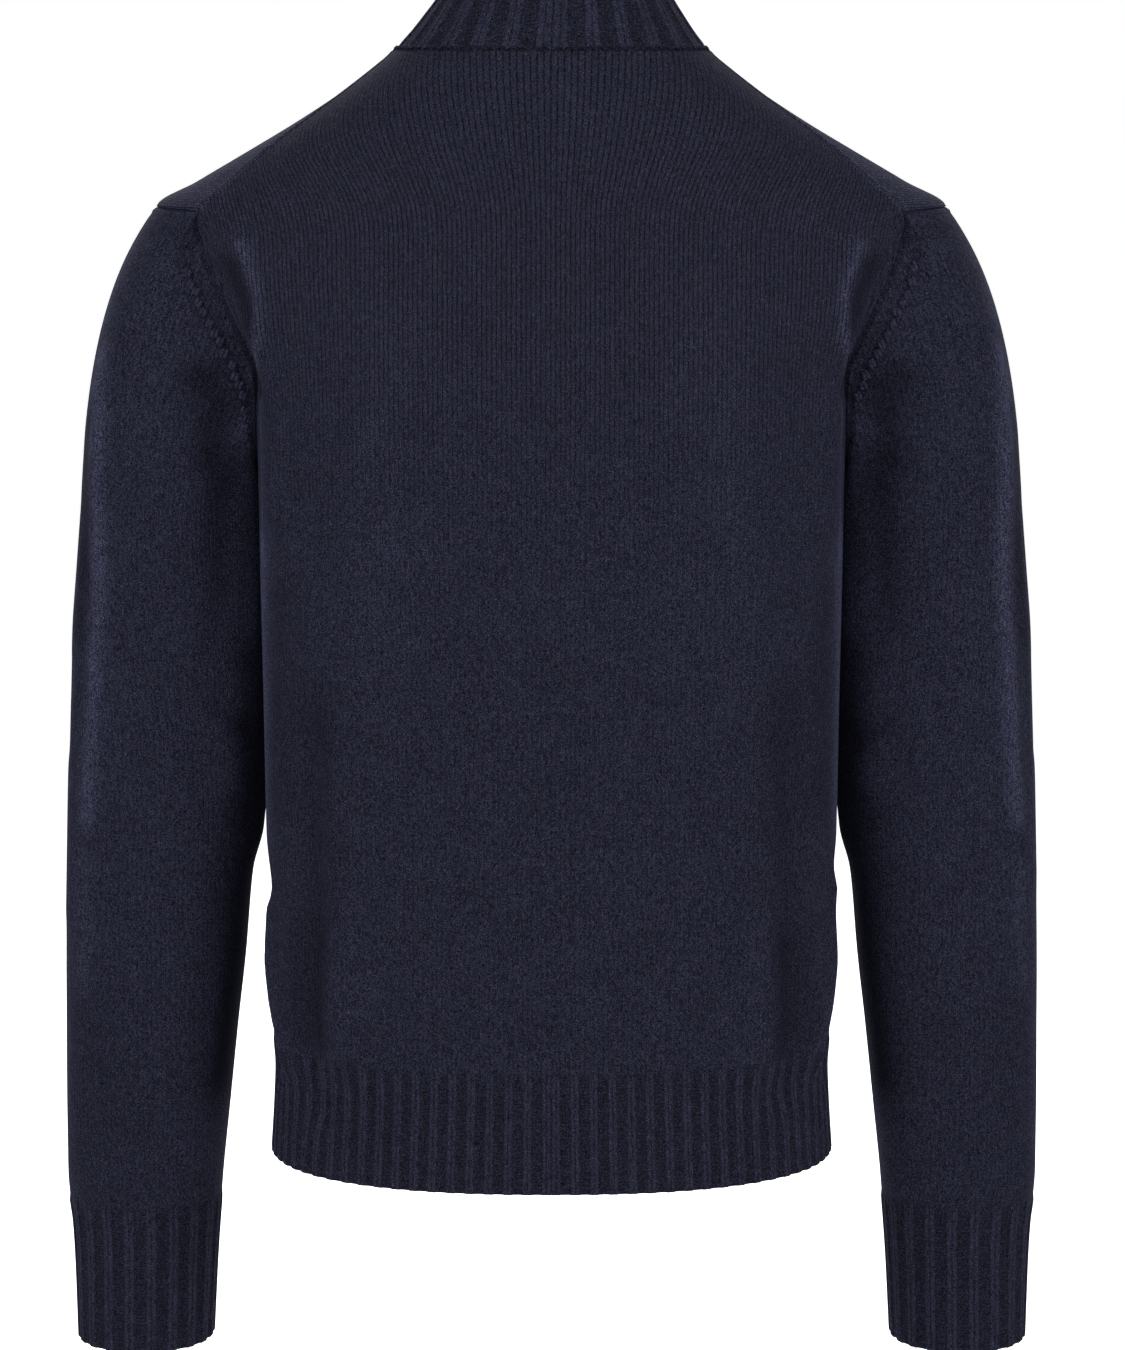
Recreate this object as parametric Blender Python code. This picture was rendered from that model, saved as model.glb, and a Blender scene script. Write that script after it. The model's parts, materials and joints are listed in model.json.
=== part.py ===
# Full-zip sweater in a knitted wool, standing in the hollow form that it has when worn.
# Two fronts and a back of plain knit, two set-in sleeves, 2x2 ribbed hem, cuffs and stand
# collar, and a closed zip down the centre front with its slider at the top of the collar.
#
# Metres, +Z up. The front faces -Y and the wearer's left is +X. The origin lies between the
# neck ends of the shoulders, just above the collar seam. Every panel lies on one of three
# surfaces: body_point, sleeve_point or collar_point.

import math
from collections import namedtuple

import bmesh
import bpy
import numpy as np
from mathutils import Matrix

# ---- Driving sizes ----------------------------------------------------------------

PANEL_WALL = 0.0024  # plain knit
RIB_WALL = 0.0028  # ribbed knit, in the valleys
RIB_RISE = 0.0013  # how far a rib stands above its valley
RIB_SINK = 0.0005  # valleys lie this far inside the plain surface
SEAM_GAP = 0.0005  # left between pieces that are sewn together
CORNER_GAP = 1.6  # times that at the corner where shoulder seam and armhole meet
CORNER_SPREAD = 0.40  # how far round the armhole the wider gap reaches
NECK_GAP = 0.0019  # and between the neckline and the collar, whose points differ
EDGE_PULL = 0.0002  # each panel stops this far short of a seam that it shares

HEM_TOP = -0.572  # level at which the hem rib starts
HEM_EDGE = -0.641  # lower edge of the hem rib
ARMPIT = -0.235
HEM_RIBS_BACK = 42
HEM_RIBS_FRONT = 21  # on each side of the zip

SLEEVE_RING = -0.262  # the first level ring of the sleeve, just under the armpit
CUFF_TOP = -0.676
CUFF_EDGE = -0.765
CUFF_RIBS = 21

COLLAR_RIBS_FRONT = 7  # from the zip to the side of the neck
COLLAR_RIBS_BACK = 14
COLLAR_LIFT_BACK = 0.075
COLLAR_LIFT_SIDE = 0.063
COLLAR_TOP_HALF_WIDTH = 0.0595
COLLAR_TOP_BACK = 0.060
COLLAR_TOP_FRONT = 0.066
COLLAR_TOP_SQUARENESS = 2.1
COLLAR_TILT = -0.0028  # the upper collar stands a little towards the wearer's right
NECK_LEVEL = -0.003  # of the collar seam at the back and at the sides of the neck
NECK_ANGLE = 3.0  # degrees each side of the shoulder line where front and back end at the neck

FRONT_EDGE = 0.0035  # half the space that the fronts leave for the zip
TAPE_WIDTH = 0.0145
TAPE_THICK = 0.0009
TAPE_DEPTH = 0.0041  # face of the tape, inside the outer face of the cloth
CHAIN_HALF_WIDTH = 0.0028
CHAIN_TOP = 0.0004  # face of the meshed teeth, inside the outer face of the cloth
CHAIN_THICK = 0.0026

ZIP_FOOT = 0.0015  # the zip ends this far above the hem's edge
ZIP_FRONT_LEVELS = (-0.535, -0.074)  # first and last of its even steps up the fronts
ZIP_COLLAR_START = 0.03
TAPE_TOP = 0.985  # how far up the collar the tapes, the teeth and the slider's middle stand
CHAIN_TOP_RISE = 0.81
SLIDER_RISE = 0.90
SLIDER_LENGTH = 0.0115
SLIDER_PLATE_HALF_WIDTH = 0.0042
SLIDER_CORE_HALF_WIDTH = 0.0029
SLIDER_PLATE_THICK = 0.0015
SLIDER_PROUD = 0.0006  # back of the slider's plate, outside the plain outer face
BAIL_WIDTH = 0.0018
BAIL_THICK = 0.0010
BAIL_ROOM = 0.0023  # clear height under the bail
BAIL_LENGTH = 0.0056
PIN_RADIUS = 0.0007
TAB_LENGTH = 0.026
TAB_HALF_WIDTH = 0.0031
TAB_THICK = 0.0014
TAB_SLOT_HALF_WIDTH = 0.0014
TAB_ARM_LENGTH = 0.0052  # from the pin down to where the flat grip starts

# ---- Sections of the body ---------------------------------------------------------

# A level, half the width, the depth behind and in front of the shoulder line, and how
# square the outline is (2 is an ellipse).
BODY_COLUMNS = ("level", "half_width", "back_depth", "front_depth", "squareness")
BODY_SECTIONS = (
    (0.000, 0.0850, 0.0750, 0.0620, 2.30),
    (-0.009, 0.0955, 0.0785, 0.0640, 2.30),
    (-0.026, 0.1180, 0.0850, 0.0685, 2.30),
    (-0.043, 0.1440, 0.0905, 0.0735, 2.32),
    (-0.060, 0.1725, 0.0955, 0.0785, 2.34),
    (-0.077, 0.2015, 0.1000, 0.0835, 2.38),
    (-0.091, 0.2245, 0.1035, 0.0880, 2.40),
    (-0.110, 0.2110, 0.1085, 0.0955, 2.45),
    (-0.127, 0.2055, 0.1125, 0.1020, 2.50),
    (-0.147, 0.1935, 0.1160, 0.1090, 2.60),
    (-0.165, 0.1815, 0.1180, 0.1140, 2.72),
    (-0.180, 0.1735, 0.1190, 0.1175, 2.85),
    (-0.200, 0.1690, 0.1195, 0.1205, 2.90),
    (-0.235, 0.1680, 0.1190, 0.1225, 2.85),
    (-0.300, 0.1675, 0.1165, 0.1225, 2.75),
    (-0.380, 0.1665, 0.1120, 0.1185, 2.65),
    (-0.450, 0.1658, 0.1095, 0.1150, 2.58),
    (-0.493, 0.1622, 0.1095, 0.1140, 2.54),
    (-0.529, 0.1652, 0.1115, 0.1145, 2.50),
    (-0.546, 0.1650, 0.1125, 0.1145, 2.46),
    (-0.572, 0.1628, 0.1125, 0.1125, 2.42),
    (-0.590, 0.1612, 0.1130, 0.1120, 2.38),
    (-0.610, 0.1620, 0.1145, 0.1130, 2.35),
    (-0.641, 0.1640, 0.1165, 0.1145, 2.33),
)

# ---- Lines of the pattern, on the body --------------------------------------------

# Each is a path over the body: how far along it, the angle in degrees from the side
# (positive towards the back) and the level.
PATH_COLUMNS = ("travel", "angle", "level")
STRIP_END = ((0.0, 0.0, -0.0908), (0.5, 9.0, -0.0909), (1.0, 17.1, -0.0915))
ARMHOLE_BACK = (
    (0.00, 17.1, -0.0915),
    (0.12, 15.4, -0.1080),
    (0.26, 15.9, -0.1270),
    (0.41, 16.6, -0.1470),
    (0.62, 16.5, -0.1780),
    (0.77, 14.0, -0.2010),
    (0.90, 7.6, -0.2230),
    (1.00, 0.0, -0.2350),
)
ARMHOLE_FRONT = (
    (0.00, 0.0, -0.2350),
    (0.10, -8.0, -0.2250),
    (0.24, -16.0, -0.2060),
    (0.40, -21.5, -0.1770),
    (0.56, -23.5, -0.1470),
    (0.72, -21.0, -0.1190),
    (0.87, -12.0, -0.0975),
    (1.00, 0.0, -0.0908),
)
SHOULDER_SEAM = (
    (0.00, 17.1, -0.0915),
    (0.20, 16.3, -0.0765),
    (0.38, 14.0, -0.0615),
    (0.57, 10.8, -0.0455),
    (0.75, 7.2, -0.0280),
    (0.90, 4.6, -0.0120),
    (1.00, NECK_ANGLE, NECK_LEVEL),
)
# The front neckline: the angle in degrees and the level there.
NECKLINE_COLUMNS = ("angle", "level")
FRONT_NECKLINE = (
    (-90.0, -0.0700),
    (-75.0, -0.0630),
    (-55.0, -0.0440),
    (-35.0, -0.0230),
    (-17.0, -0.0095),
    (-NECK_ANGLE, NECK_LEVEL),
)

# ---- Sections of the sleeve -------------------------------------------------------

SLEEVE_COLUMNS = ("level", "inner", "outer", "half_depth", "centre")
SLEEVE_SECTIONS = (
    (-0.262, 0.1700, 0.2731, 0.0620, -0.022),
    (-0.300, 0.1700, 0.2766, 0.0605, -0.022),
    (-0.336, 0.1698, 0.2798, 0.0585, -0.022),
    (-0.371, 0.1694, 0.2812, 0.0565, -0.022),
    (-0.424, 0.1690, 0.2833, 0.0540, -0.022),
    (-0.452, 0.1712, 0.2842, 0.0530, -0.022),
    (-0.481, 0.1760, 0.2850, 0.0520, -0.022),
    (-0.531, 0.1806, 0.2862, 0.0500, -0.022),
    (-0.571, 0.1854, 0.2868, 0.0485, -0.023),
    (-0.626, 0.1915, 0.2876, 0.0465, -0.025),
    (-0.662, 0.1955, 0.2877, 0.0450, -0.026),
    (-0.676, 0.1968, 0.2870, 0.0440, -0.027),
    (-0.694, 0.1985, 0.2850, 0.0428, -0.028),
    (-0.718, 0.2004, 0.2840, 0.0420, -0.029),
    (-0.765, 0.2032, 0.2831, 0.0420, -0.030),
)
SLEEVE_SQUARENESS = 2.25

# How the sleeve leaves the armhole: it points outwards at the top and turns level below.
ARMHOLE_MIDDLE = -0.163  # level of the armhole's middle
ARMHOLE_HALF_HEIGHT = 0.072
ARMHOLE_HALF_DEPTH = 0.056
CAP_OUTWARD = 0.66
CAP_SIDEWAYS = 0.15
CAP_FALL = -0.75
SHOULDER_SLOPE = 0.7
MOST_MITRE = 0.4  # keeps the mitre of a sharp corner short
CAP_START_PULL = 0.95  # strength of the cap's directions at the armhole and at the tube
CAP_END_PULL = 0.85
TUBE_LEAN = 0.06  # how far outwards the tube's own sides lean at its first ring
CREASE_FADE = (0.25, 0.60)  # the part of the cap over which the sleeve's creases grow

# ---- Creases ----------------------------------------------------------------------

# Soft ridges (height above 0) and troughs of the body, each a line from one angle and
# level to another, on the wearer's left (+1), right (-1) or both sides (0).
Crease = namedtuple("Crease", "side angle level to_angle to_level half_width height")
BODY_CREASES = (
    (0, 21.5, -0.112, 24.0, -0.150, 0.011, 0.0035),
    (0, 24.0, -0.160, 24.5, -0.262, 0.013, 0.0040),
    (0, 18.6, -0.128, 18.8, -0.190, 0.007, -0.0040),
    (+1, 52.0, -0.150, 43.0, -0.330, 0.024, 0.0034),
    (-1, 50.0, -0.165, 42.0, -0.310, 0.026, 0.0030),
    (+1, 39.0, -0.400, 35.0, -0.560, 0.016, 0.0034),
    (-1, 40.0, -0.425, 34.0, -0.565, 0.017, 0.0030),
    (+1, 30.0, -0.385, 29.0, -0.600, 0.012, -0.0040),
    (-1, 29.5, -0.400, 29.0, -0.590, 0.013, -0.0036),
    (+1, 9.0, -0.497, 19.5, -0.577, 0.009, 0.0045),
    (-1, 8.0, -0.485, 19.0, -0.575, 0.010, 0.0042),
    (0, 4.0, -0.545, 11.0, -0.590, 0.008, -0.0025),
    (+1, 66.0, -0.300, 62.0, -0.470, 0.022, -0.0020),
    (-1, 64.0, -0.280, 63.0, -0.440, 0.022, -0.0020),
    (0, -27.0, -0.165, -30.0, -0.262, 0.014, 0.0038),
    (+1, -40.0, -0.235, -33.0, -0.420, 0.018, -0.0035),
    (-1, -42.0, -0.250, -34.0, -0.400, 0.018, -0.0032),
    (+1, -56.0, -0.180, -48.0, -0.380, 0.022, 0.0030),
    (-1, -58.0, -0.200, -47.0, -0.410, 0.022, 0.0032),
    (+1, -34.0, -0.455, -31.0, -0.585, 0.014, -0.0034),
    (-1, -33.0, -0.440, -30.0, -0.590, 0.014, -0.0036),
    (+1, -43.0, -0.470, -40.0, -0.570, 0.016, 0.0028),
    (-1, -42.0, -0.480, -41.0, -0.575, 0.016, 0.0028),
    (0, -10.0, -0.500, -19.0, -0.575, 0.010, 0.0040),
)
# The same on the sleeves, where the angle runs round the tube: 0 outside, 90 behind,
# 180 towards the body and 270 in front.
SLEEVE_CREASES = (
    (0, 42.0, -0.180, 38.0, -0.345, 0.013, 0.0026),
    (+1, 36.0, -0.380, 30.0, -0.500, 0.013, 0.0022),
    (-1, 37.0, -0.370, 31.0, -0.480, 0.013, 0.0022),
    (0, 8.0, -0.240, 6.0, -0.400, 0.010, -0.0018),
    (+1, 128.0, -0.376, 150.0, -0.392, 0.006, -0.0032),
    (-1, 126.0, -0.384, 150.0, -0.400, 0.006, -0.0030),
    (0, 130.0, -0.250, 128.0, -0.330, 0.012, -0.0026),
    (+1, 205.0, -0.405, 268.0, -0.432, 0.009, -0.0046),
    (-1, 208.0, -0.398, 262.0, -0.428, 0.009, -0.0042),
    (+1, 220.0, -0.448, 292.0, -0.440, 0.010, -0.0038),
    (-1, 216.0, -0.452, 286.0, -0.447, 0.010, -0.0040),
    (+1, 228.0, -0.425, 285.0, -0.415, 0.009, 0.0026),
    (-1, 226.0, -0.420, 282.0, -0.412, 0.009, 0.0026),
    (0, 236.0, -0.220, 222.0, -0.310, 0.012, -0.0030),
    (0, 255.0, -0.540, 240.0, -0.640, 0.013, -0.0022),
    (0, 75.0, -0.560, 88.0, -0.655, 0.013, 0.0020),
)
BODY_REACH = 0.150  # turns an angle into a distance round the body, for the creases
SLEEVE_REACH = 0.054

# ---- How finely each piece is divided -----------------------------------------------

SIDE_STEPS = 9
ARMHOLE_BACK_STEPS = 8
ARMHOLE_FRONT_STEPS = 7
STRIP_STEPS = 2
SHOULDER_STEPS = 9
ACROSS_STEPS = 13  # from a side seam to the centre
CAP_STEPS = 8  # from the armhole to the first level ring
ARM_LEVELS = (-0.262, -0.300, -0.345, -0.390, -0.425, -0.459, -0.500, -0.560, -0.620, -0.676)
HEM_LEVELS = (HEM_TOP, -0.600, HEM_EDGE)
CUFF_LEVELS = (CUFF_TOP, -0.705, CUFF_EDGE)
COLLAR_RISES = (0.0, 0.17, 0.38, 0.66, 1.0)
BACK_CENTRE_LEVELS = (-0.262, -0.112)  # at centre back, of the armpit's and the shoulder's rows
FRONT_CENTRE_LEVELS = (-0.255, -0.095)  # the same at the front edge
NECK_EDGE_LEVEL = -0.070  # of the front neckline beside the zip


class Curve:
    """Smooth columns over a table's first column, with no overshoot between its rows."""

    def __init__(self, columns, rows):
        self.row = namedtuple("Row", columns[1:])
        table = np.array(sorted(rows), dtype=float)
        self.at, self.values = table[:, 0], table[:, 1:]
        slope = np.diff(self.values, axis=0) / np.diff(self.at)[:, None]
        product = slope[1:] * slope[:-1]
        total = slope[1:] + slope[:-1]
        inner = np.where(product > 0, 2 * product / np.where(total == 0, 1, total), 0)
        self.slopes = np.vstack([slope[:1], inner, slope[-1:]])

    def __call__(self, at):
        at = np.clip(np.asarray(at, dtype=float), self.at[0], self.at[-1])
        low = np.clip(np.searchsorted(self.at, at, side="right") - 1, 0, len(self.at) - 2)
        width = self.at[low + 1] - self.at[low]
        t = ((at - self.at[low]) / width)[..., None]
        width = width[..., None]
        smooth = t * t * (3 - 2 * t)
        bend_in = t * (1 - t) ** 2 * width
        bend_out = t * t * (t - 1) * width
        found = (1 - smooth) * self.values[low] + smooth * self.values[low + 1]
        found = found + bend_in * self.slopes[low] + bend_out * self.slopes[low + 1]
        return self.row(*np.moveaxis(found, -1, 0))


body_section = Curve(BODY_COLUMNS, BODY_SECTIONS)
sleeve_section = Curve(SLEEVE_COLUMNS, SLEEVE_SECTIONS)
neckline = Curve(NECKLINE_COLUMNS, FRONT_NECKLINE)
strip_end = Curve(PATH_COLUMNS, STRIP_END)
armhole_back = Curve(PATH_COLUMNS, ARMHOLE_BACK)
armhole_front = Curve(PATH_COLUMNS, ARMHOLE_FRONT)
shoulder_seam = Curve(PATH_COLUMNS, SHOULDER_SEAM)
# How much of its way inwards the collar has gone, at each part of its height.
collar_lean = Curve(
    ("rise", "lean"),
    (
        (0.00, 0.00),
        (0.13, 0.25),
        (0.22, 0.40),
        (0.31, 0.54),
        (0.40, 0.68),
        (0.48, 0.79),
        (0.57, 0.88),
        (0.67, 0.945),
        (0.80, 0.98),
        (1.00, 1.00),
    ),
)


def unit(vectors):
    length = np.linalg.norm(vectors, axis=-1, keepdims=True)
    return vectors / np.maximum(length, 1e-12)


def crease_relief(creases, angle, level, side, reach):
    """Height of the creases at an angle in degrees and a level."""
    around = np.radians(angle) * reach
    relief = np.zeros(np.broadcast(around, level).shape)
    for crease in (Crease(*row) for row in creases):
        if crease.side == -side:
            continue
        start = np.array((math.radians(crease.angle) * reach, crease.level))
        run = np.array((math.radians(crease.to_angle) * reach, crease.to_level)) - start
        along = ((around - start[0]) * run[0] + (level - start[1]) * run[1]) / (run @ run)
        along = np.clip(along, 0, 1)
        gap = np.hypot(around - start[0] - along * run[0], level - start[1] - along * run[1])
        relief = relief + crease.height * np.exp(-((gap / crease.half_width) ** 2))
    return relief


def outline_reach(angle, half_width, depth, squareness):
    """Distance from the middle to a rounded outline, at an angle in degrees."""
    across = np.abs(np.cos(np.radians(angle))) / half_width
    along = np.abs(np.sin(np.radians(angle))) / depth
    return (across**squareness + along**squareness) ** (-1 / squareness)


def body_point(angle, level, side=1):
    """Outer face of the body: 0 degrees at the side, 90 at centre back, -90 at centre front."""
    angle, level = np.broadcast_arrays(np.asarray(angle, float), np.asarray(level, float))
    section = body_section(level)
    depth = np.where(angle > 0, section.back_depth, section.front_depth)
    reach = outline_reach(angle, section.half_width, depth, section.squareness)
    reach = reach + crease_relief(BODY_CREASES, angle, level, side, BODY_REACH)
    x = side * reach * np.cos(np.radians(angle))
    return np.stack([x, reach * np.sin(np.radians(angle)), level], axis=-1)


def normals(surface, first, second, side=1):
    """Outward directions of a surface of two values, from its slopes."""
    first, second = np.broadcast_arrays(np.asarray(first, float), np.asarray(second, float))
    step, rise = 0.4, 0.0012
    ahead = surface(first + step, second, side) - surface(first - step, second, side)
    above = surface(first, second + rise, side) - surface(first, second - rise, side)
    return side * unit(np.cross(ahead, above))


def body_normal(angle, level, side=1):
    return normals(body_point, angle, level, side)


def collar_point(angle, rise, side=1):
    """Outer face of the collar: the body's angles, and 0 to 1 from its seam to its edge."""
    angle, rise = np.broadcast_arrays(np.asarray(angle, float), np.asarray(rise, float))
    base_level = neckline(angle).level
    section = body_section(base_level)
    depth = np.where(angle > 0, section.back_depth, section.front_depth)
    base = outline_reach(angle, section.half_width, depth, section.squareness)
    top_depth = np.where(angle > 0, COLLAR_TOP_BACK, COLLAR_TOP_FRONT)
    top = outline_reach(angle, COLLAR_TOP_HALF_WIDTH, top_depth, COLLAR_TOP_SQUARENESS)
    lean = collar_lean(rise).lean
    reach = base + (top - base) * lean
    sideways = np.cos(np.radians(angle)) ** 2
    lift = COLLAR_LIFT_BACK + (COLLAR_LIFT_SIDE - COLLAR_LIFT_BACK) * sideways
    x = side * reach * np.cos(np.radians(angle)) + COLLAR_TILT * lean
    return np.stack([x, reach * np.sin(np.radians(angle)), base_level + rise * lift], axis=-1)


def collar_normal(angle, rise, side=1):
    step, lift = 0.4, 0.02
    rise = np.asarray(rise, float)
    ahead = collar_point(angle + step, rise, side) - collar_point(angle - step, rise, side)
    low, high = np.maximum(rise - lift, 0), np.minimum(rise + lift, 1)
    above = collar_point(angle, high, side) - collar_point(angle, low, side)
    return side * unit(np.cross(ahead, above))


# ---- The armhole, where body and sleeve meet ----------------------------------------

# The way round the armhole is 0 to 3: the strip's end from the shoulder line to the
# shoulder seam, the back down to the armpit, and the front up to the shoulder line again.


def armhole_place(way):
    """Angle and level of the armhole on the body."""
    way = np.mod(np.asarray(way, float), 3.0)
    paths = (strip_end(way), armhole_back(way - 1), armhole_front(way - 2))
    chosen = np.floor(way).astype(int)
    angle = np.choose(chosen, [path.angle for path in paths])
    level = np.choose(chosen, [path.level for path in paths])
    return angle, level


def armhole_frame(way):
    """The armhole on the left side: its point, the sleeve's direction and the mitre there."""
    way = np.asarray(way, float)
    angle, level = armhole_place(way)
    point = body_point(angle, level)
    step = 0.02
    ahead = unit(body_point(*armhole_place(way + step)) - point)
    behind = unit(point - body_point(*armhole_place(way - step)))
    tangent = unit(ahead + behind)
    above = (point[..., 2] - ARMHOLE_MIDDLE) / ARMHOLE_HALF_HEIGHT
    turn = np.arctan2(point[..., 1] / ARMHOLE_HALF_DEPTH, above)
    under = ((1 - np.cos(turn)) / 2) ** 2
    outwards = CAP_OUTWARD + (1 - CAP_OUTWARD) * under
    falling = CAP_FALL * (1 - under)
    leaving = np.stack([outwards, CAP_SIDEWAYS * np.sin(turn), falling], axis=-1)
    leaving = leaving - tangent * np.sum(leaving * tangent, axis=-1, keepdims=True)
    leaving = unit(leaving)
    slope = SHOULDER_SLOPE * np.cos(turn)
    outward = np.stack([slope, np.sin(turn), slope], axis=-1)
    sleeve_out = unit(np.cross(tangent, leaving))
    sleeve_out = sleeve_out * np.sign(np.sum(sleeve_out * outward, axis=-1, keepdims=True))
    body_out = body_normal(angle, level)
    between = unit(body_out + sleeve_out)
    share = np.maximum(np.sum(between * body_out, axis=-1, keepdims=True), MOST_MITRE)
    inward = -between * PANEL_WALL / share
    across = unit(np.cross(tangent, inward))
    across = across * np.sign(np.sum(across * leaving, axis=-1, keepdims=True))
    return point, leaving, inward, across, np.degrees(turn) % 360


def sleeve_point(way, travel, side=1):
    """Outer face of the sleeve: 0 to 3 round the armhole; 0 to 1 is the cap, 1 to 2 the arm."""
    way, travel = np.broadcast_arrays(np.asarray(way, float), np.asarray(travel, float))
    start, leaving, _, _, turn = armhole_frame(way)
    level = SLEEVE_RING + np.clip(travel - 1, 0, 1) * (CUFF_TOP - SLEEVE_RING)
    ring = tube_point(turn, level)
    t = np.clip(travel, 0, 1)[..., None]
    far = np.linalg.norm(ring - start, axis=-1, keepdims=True)
    lean = TUBE_LEAN * np.cos(np.radians(turn)) ** 2
    finish = unit(np.stack([lean, 0 * lean, -np.ones_like(lean)], axis=-1))
    smooth = t * t * (3 - 2 * t)
    cap = (1 - smooth) * start + smooth * ring
    cap = cap + t * (1 - t) ** 2 * far * CAP_START_PULL * leaving
    cap = cap + t * t * (t - 1) * far * CAP_END_PULL * finish
    point = np.where(travel[..., None] >= 1, ring, cap)
    tall = point[..., 2]
    fade = np.clip((travel - CREASE_FADE[0]) / (CREASE_FADE[1] - CREASE_FADE[0]), 0, 1)
    relief = crease_relief(SLEEVE_CREASES, turn, tall, side, SLEEVE_REACH) * fade
    outward = np.stack([np.cos(np.radians(turn)), np.sin(np.radians(turn)), 0 * turn], axis=-1)
    point = point + outward * relief[..., None]
    return point * np.array((side, 1.0, 1.0))


def tube_point(turn, level):
    """The sleeve's plain tube on the left side, at a turn in degrees and a level."""
    turn, level = np.broadcast_arrays(np.asarray(turn, float), np.asarray(level, float))
    section = sleeve_section(level)
    half_width = (section.outer - section.inner) / 2
    reach = outline_reach(turn, half_width, section.half_depth, SLEEVE_SQUARENESS)
    x = (section.outer + section.inner) / 2 + reach * np.cos(np.radians(turn))
    return np.stack([x, section.centre + reach * np.sin(np.radians(turn)), level], axis=-1)


# ---- Making walls --------------------------------------------------------------------


def strip_faces(first, second):
    """Triangles between two rows of vertices that run side by side."""
    faces, i, j = [], 0, 0
    while i < len(first) - 1 or j < len(second) - 1:
        next_first = (i + 1) / (len(first) - 1)
        next_second = (j + 1) / (len(second) - 1)
        if j == len(second) - 1 or (i < len(first) - 1 and next_first <= next_second):
            faces.append((first[i], first[i + 1], second[j]))
            i += 1
        else:
            faces.append((first[i], second[j + 1], second[j]))
            j += 1
    return faces


def wall_object(name, outer, inner, closed, material):
    """A closed wall between an outer and an inner grid of points, rows by columns."""
    mesh = bmesh.new()

    def grid_vertices(points):
        return [[mesh.verts.new(point) for point in row] for row in points]

    def grid_faces(rows):
        for low, high in zip(rows, rows[1:]):
            pairs = list(zip(low, high))
            if closed:
                pairs.append(pairs[0])
            for (a, d), (b, c) in zip(pairs, pairs[1:]):
                mesh.faces.new((a, b, c, d))

    outside, inside = grid_vertices(outer), grid_vertices(inner)
    grid_faces(outside)
    grid_faces(inside)
    edges = [(outside[0], inside[0]), (outside[-1], inside[-1])]
    if closed:
        edges = [(a + a[:1], b + b[:1]) for a, b in edges]
    else:
        for end in (0, -1):
            edges.append(([row[end] for row in outside], [row[end] for row in inside]))
    for a, b in edges:
        for face in strip_faces(a, b):
            mesh.faces.new(face)
    bmesh.ops.recalc_face_normals(mesh, faces=mesh.faces)
    data = bpy.data.meshes.new(name)
    mesh.to_mesh(data)
    mesh.free()
    data.shade_smooth()
    data.set_sharp_from_angle(angle=math.radians(50))
    return add_object(name, data, material)


def add_object(name, data, material):
    data.materials.append(material)
    piece = bpy.data.objects.new(name, data)
    sweater.objects.link(piece)
    return piece


def make_material(name, colour, roughness, metallic=0.0):
    material = bpy.data.materials.new(name)
    material.use_nodes = True
    shader = material.node_tree.nodes["Principled BSDF"]
    shader.inputs["Base Color"].default_value = (*colour, 1.0)
    shader.inputs["Roughness"].default_value = roughness
    shader.inputs["Metallic"].default_value = metallic
    return material


def pulled(points, axis, end, distance):
    """The grid with one edge row moved towards its neighbour."""
    points = np.moveaxis(points, axis, 0)
    beside = 1 if end == 0 else -2
    points[end] = points[end] + unit(points[beside] - points[end]) * distance
    return np.moveaxis(points, 0, axis)


# ---- Plain panels --------------------------------------------------------------------


def path_places(path, steps):
    """Angles and levels of a path at equal steps, its first point left out."""
    angle, level = path(np.linspace(0, 1, steps + 1))
    return list(zip(angle, level))[1:]


def side_places():
    """The side seam from the hem rib up to the armpit."""
    share = np.linspace(0, 1, SIDE_STEPS + 1)
    return [(0.0, HEM_TOP + (ARMPIT - HEM_TOP) * s) for s in share]


def back_edge():
    """The back's outer edge from the hem rib to the neck, and where the armhole lies in it."""
    armhole = path_places(armhole_back, ARMHOLE_BACK_STEPS)
    armhole = [tuple(place) for place in reversed(armhole[:-1])]
    armhole.append(tuple(value[()] for value in armhole_back(0.0)))
    places = side_places() + armhole + path_places(shoulder_seam, SHOULDER_STEPS)
    ways = {SIDE_STEPS + i: 2 - i / ARMHOLE_BACK_STEPS for i in range(ARMHOLE_BACK_STEPS + 1)}
    return places, ways


def front_outer_edge():
    """The front's outer edge from the hem rib over the shoulder to the neck."""
    places = side_places() + path_places(armhole_front, ARMHOLE_FRONT_STEPS)
    places += path_places(strip_end, STRIP_STEPS) + path_places(shoulder_seam, SHOULDER_STEPS)
    ways = {}
    for i in range(ARMHOLE_FRONT_STEPS + 1):
        ways[SIDE_STEPS + i] = 2 + i / ARMHOLE_FRONT_STEPS
    for i in range(1, STRIP_STEPS + 1):
        ways[SIDE_STEPS + ARMHOLE_FRONT_STEPS + i] = 3 + i / STRIP_STEPS
    return places, ways


def centre_angle(level):
    """Angle of the front's edge beside the zip."""
    return -90 + np.degrees(FRONT_EDGE / body_section(level).front_depth)


def front_inner_edge():
    """The front's edge along the zip and then along the neckline."""
    body_rows = SIDE_STEPS + ARMHOLE_FRONT_STEPS + STRIP_STEPS
    knots = (0, SIDE_STEPS, SIDE_STEPS + ARMHOLE_FRONT_STEPS, body_rows)
    neck_level = neckline(centre_angle(NECK_EDGE_LEVEL)).level
    known = (HEM_TOP, *FRONT_CENTRE_LEVELS, neck_level)
    levels = np.interp(np.arange(body_rows + 1), knots, known)
    places = [(centre_angle(level), level) for level in levels]
    start = centre_angle(neck_level)
    for i in range(1, SHOULDER_STEPS + 1):
        angle = start + (-NECK_ANGLE - start) * i / SHOULDER_STEPS
        places.append((angle, neckline(angle).level))
    return places


def panel_grid(starts, finishes, shares):
    """Angles and levels of rows that run from one edge of a panel to the other."""
    starts, finishes = np.array(starts, float), np.array(finishes, float)
    return starts[:, None, :] + (finishes - starts)[:, None, :] * shares[None, :, None]


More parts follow.
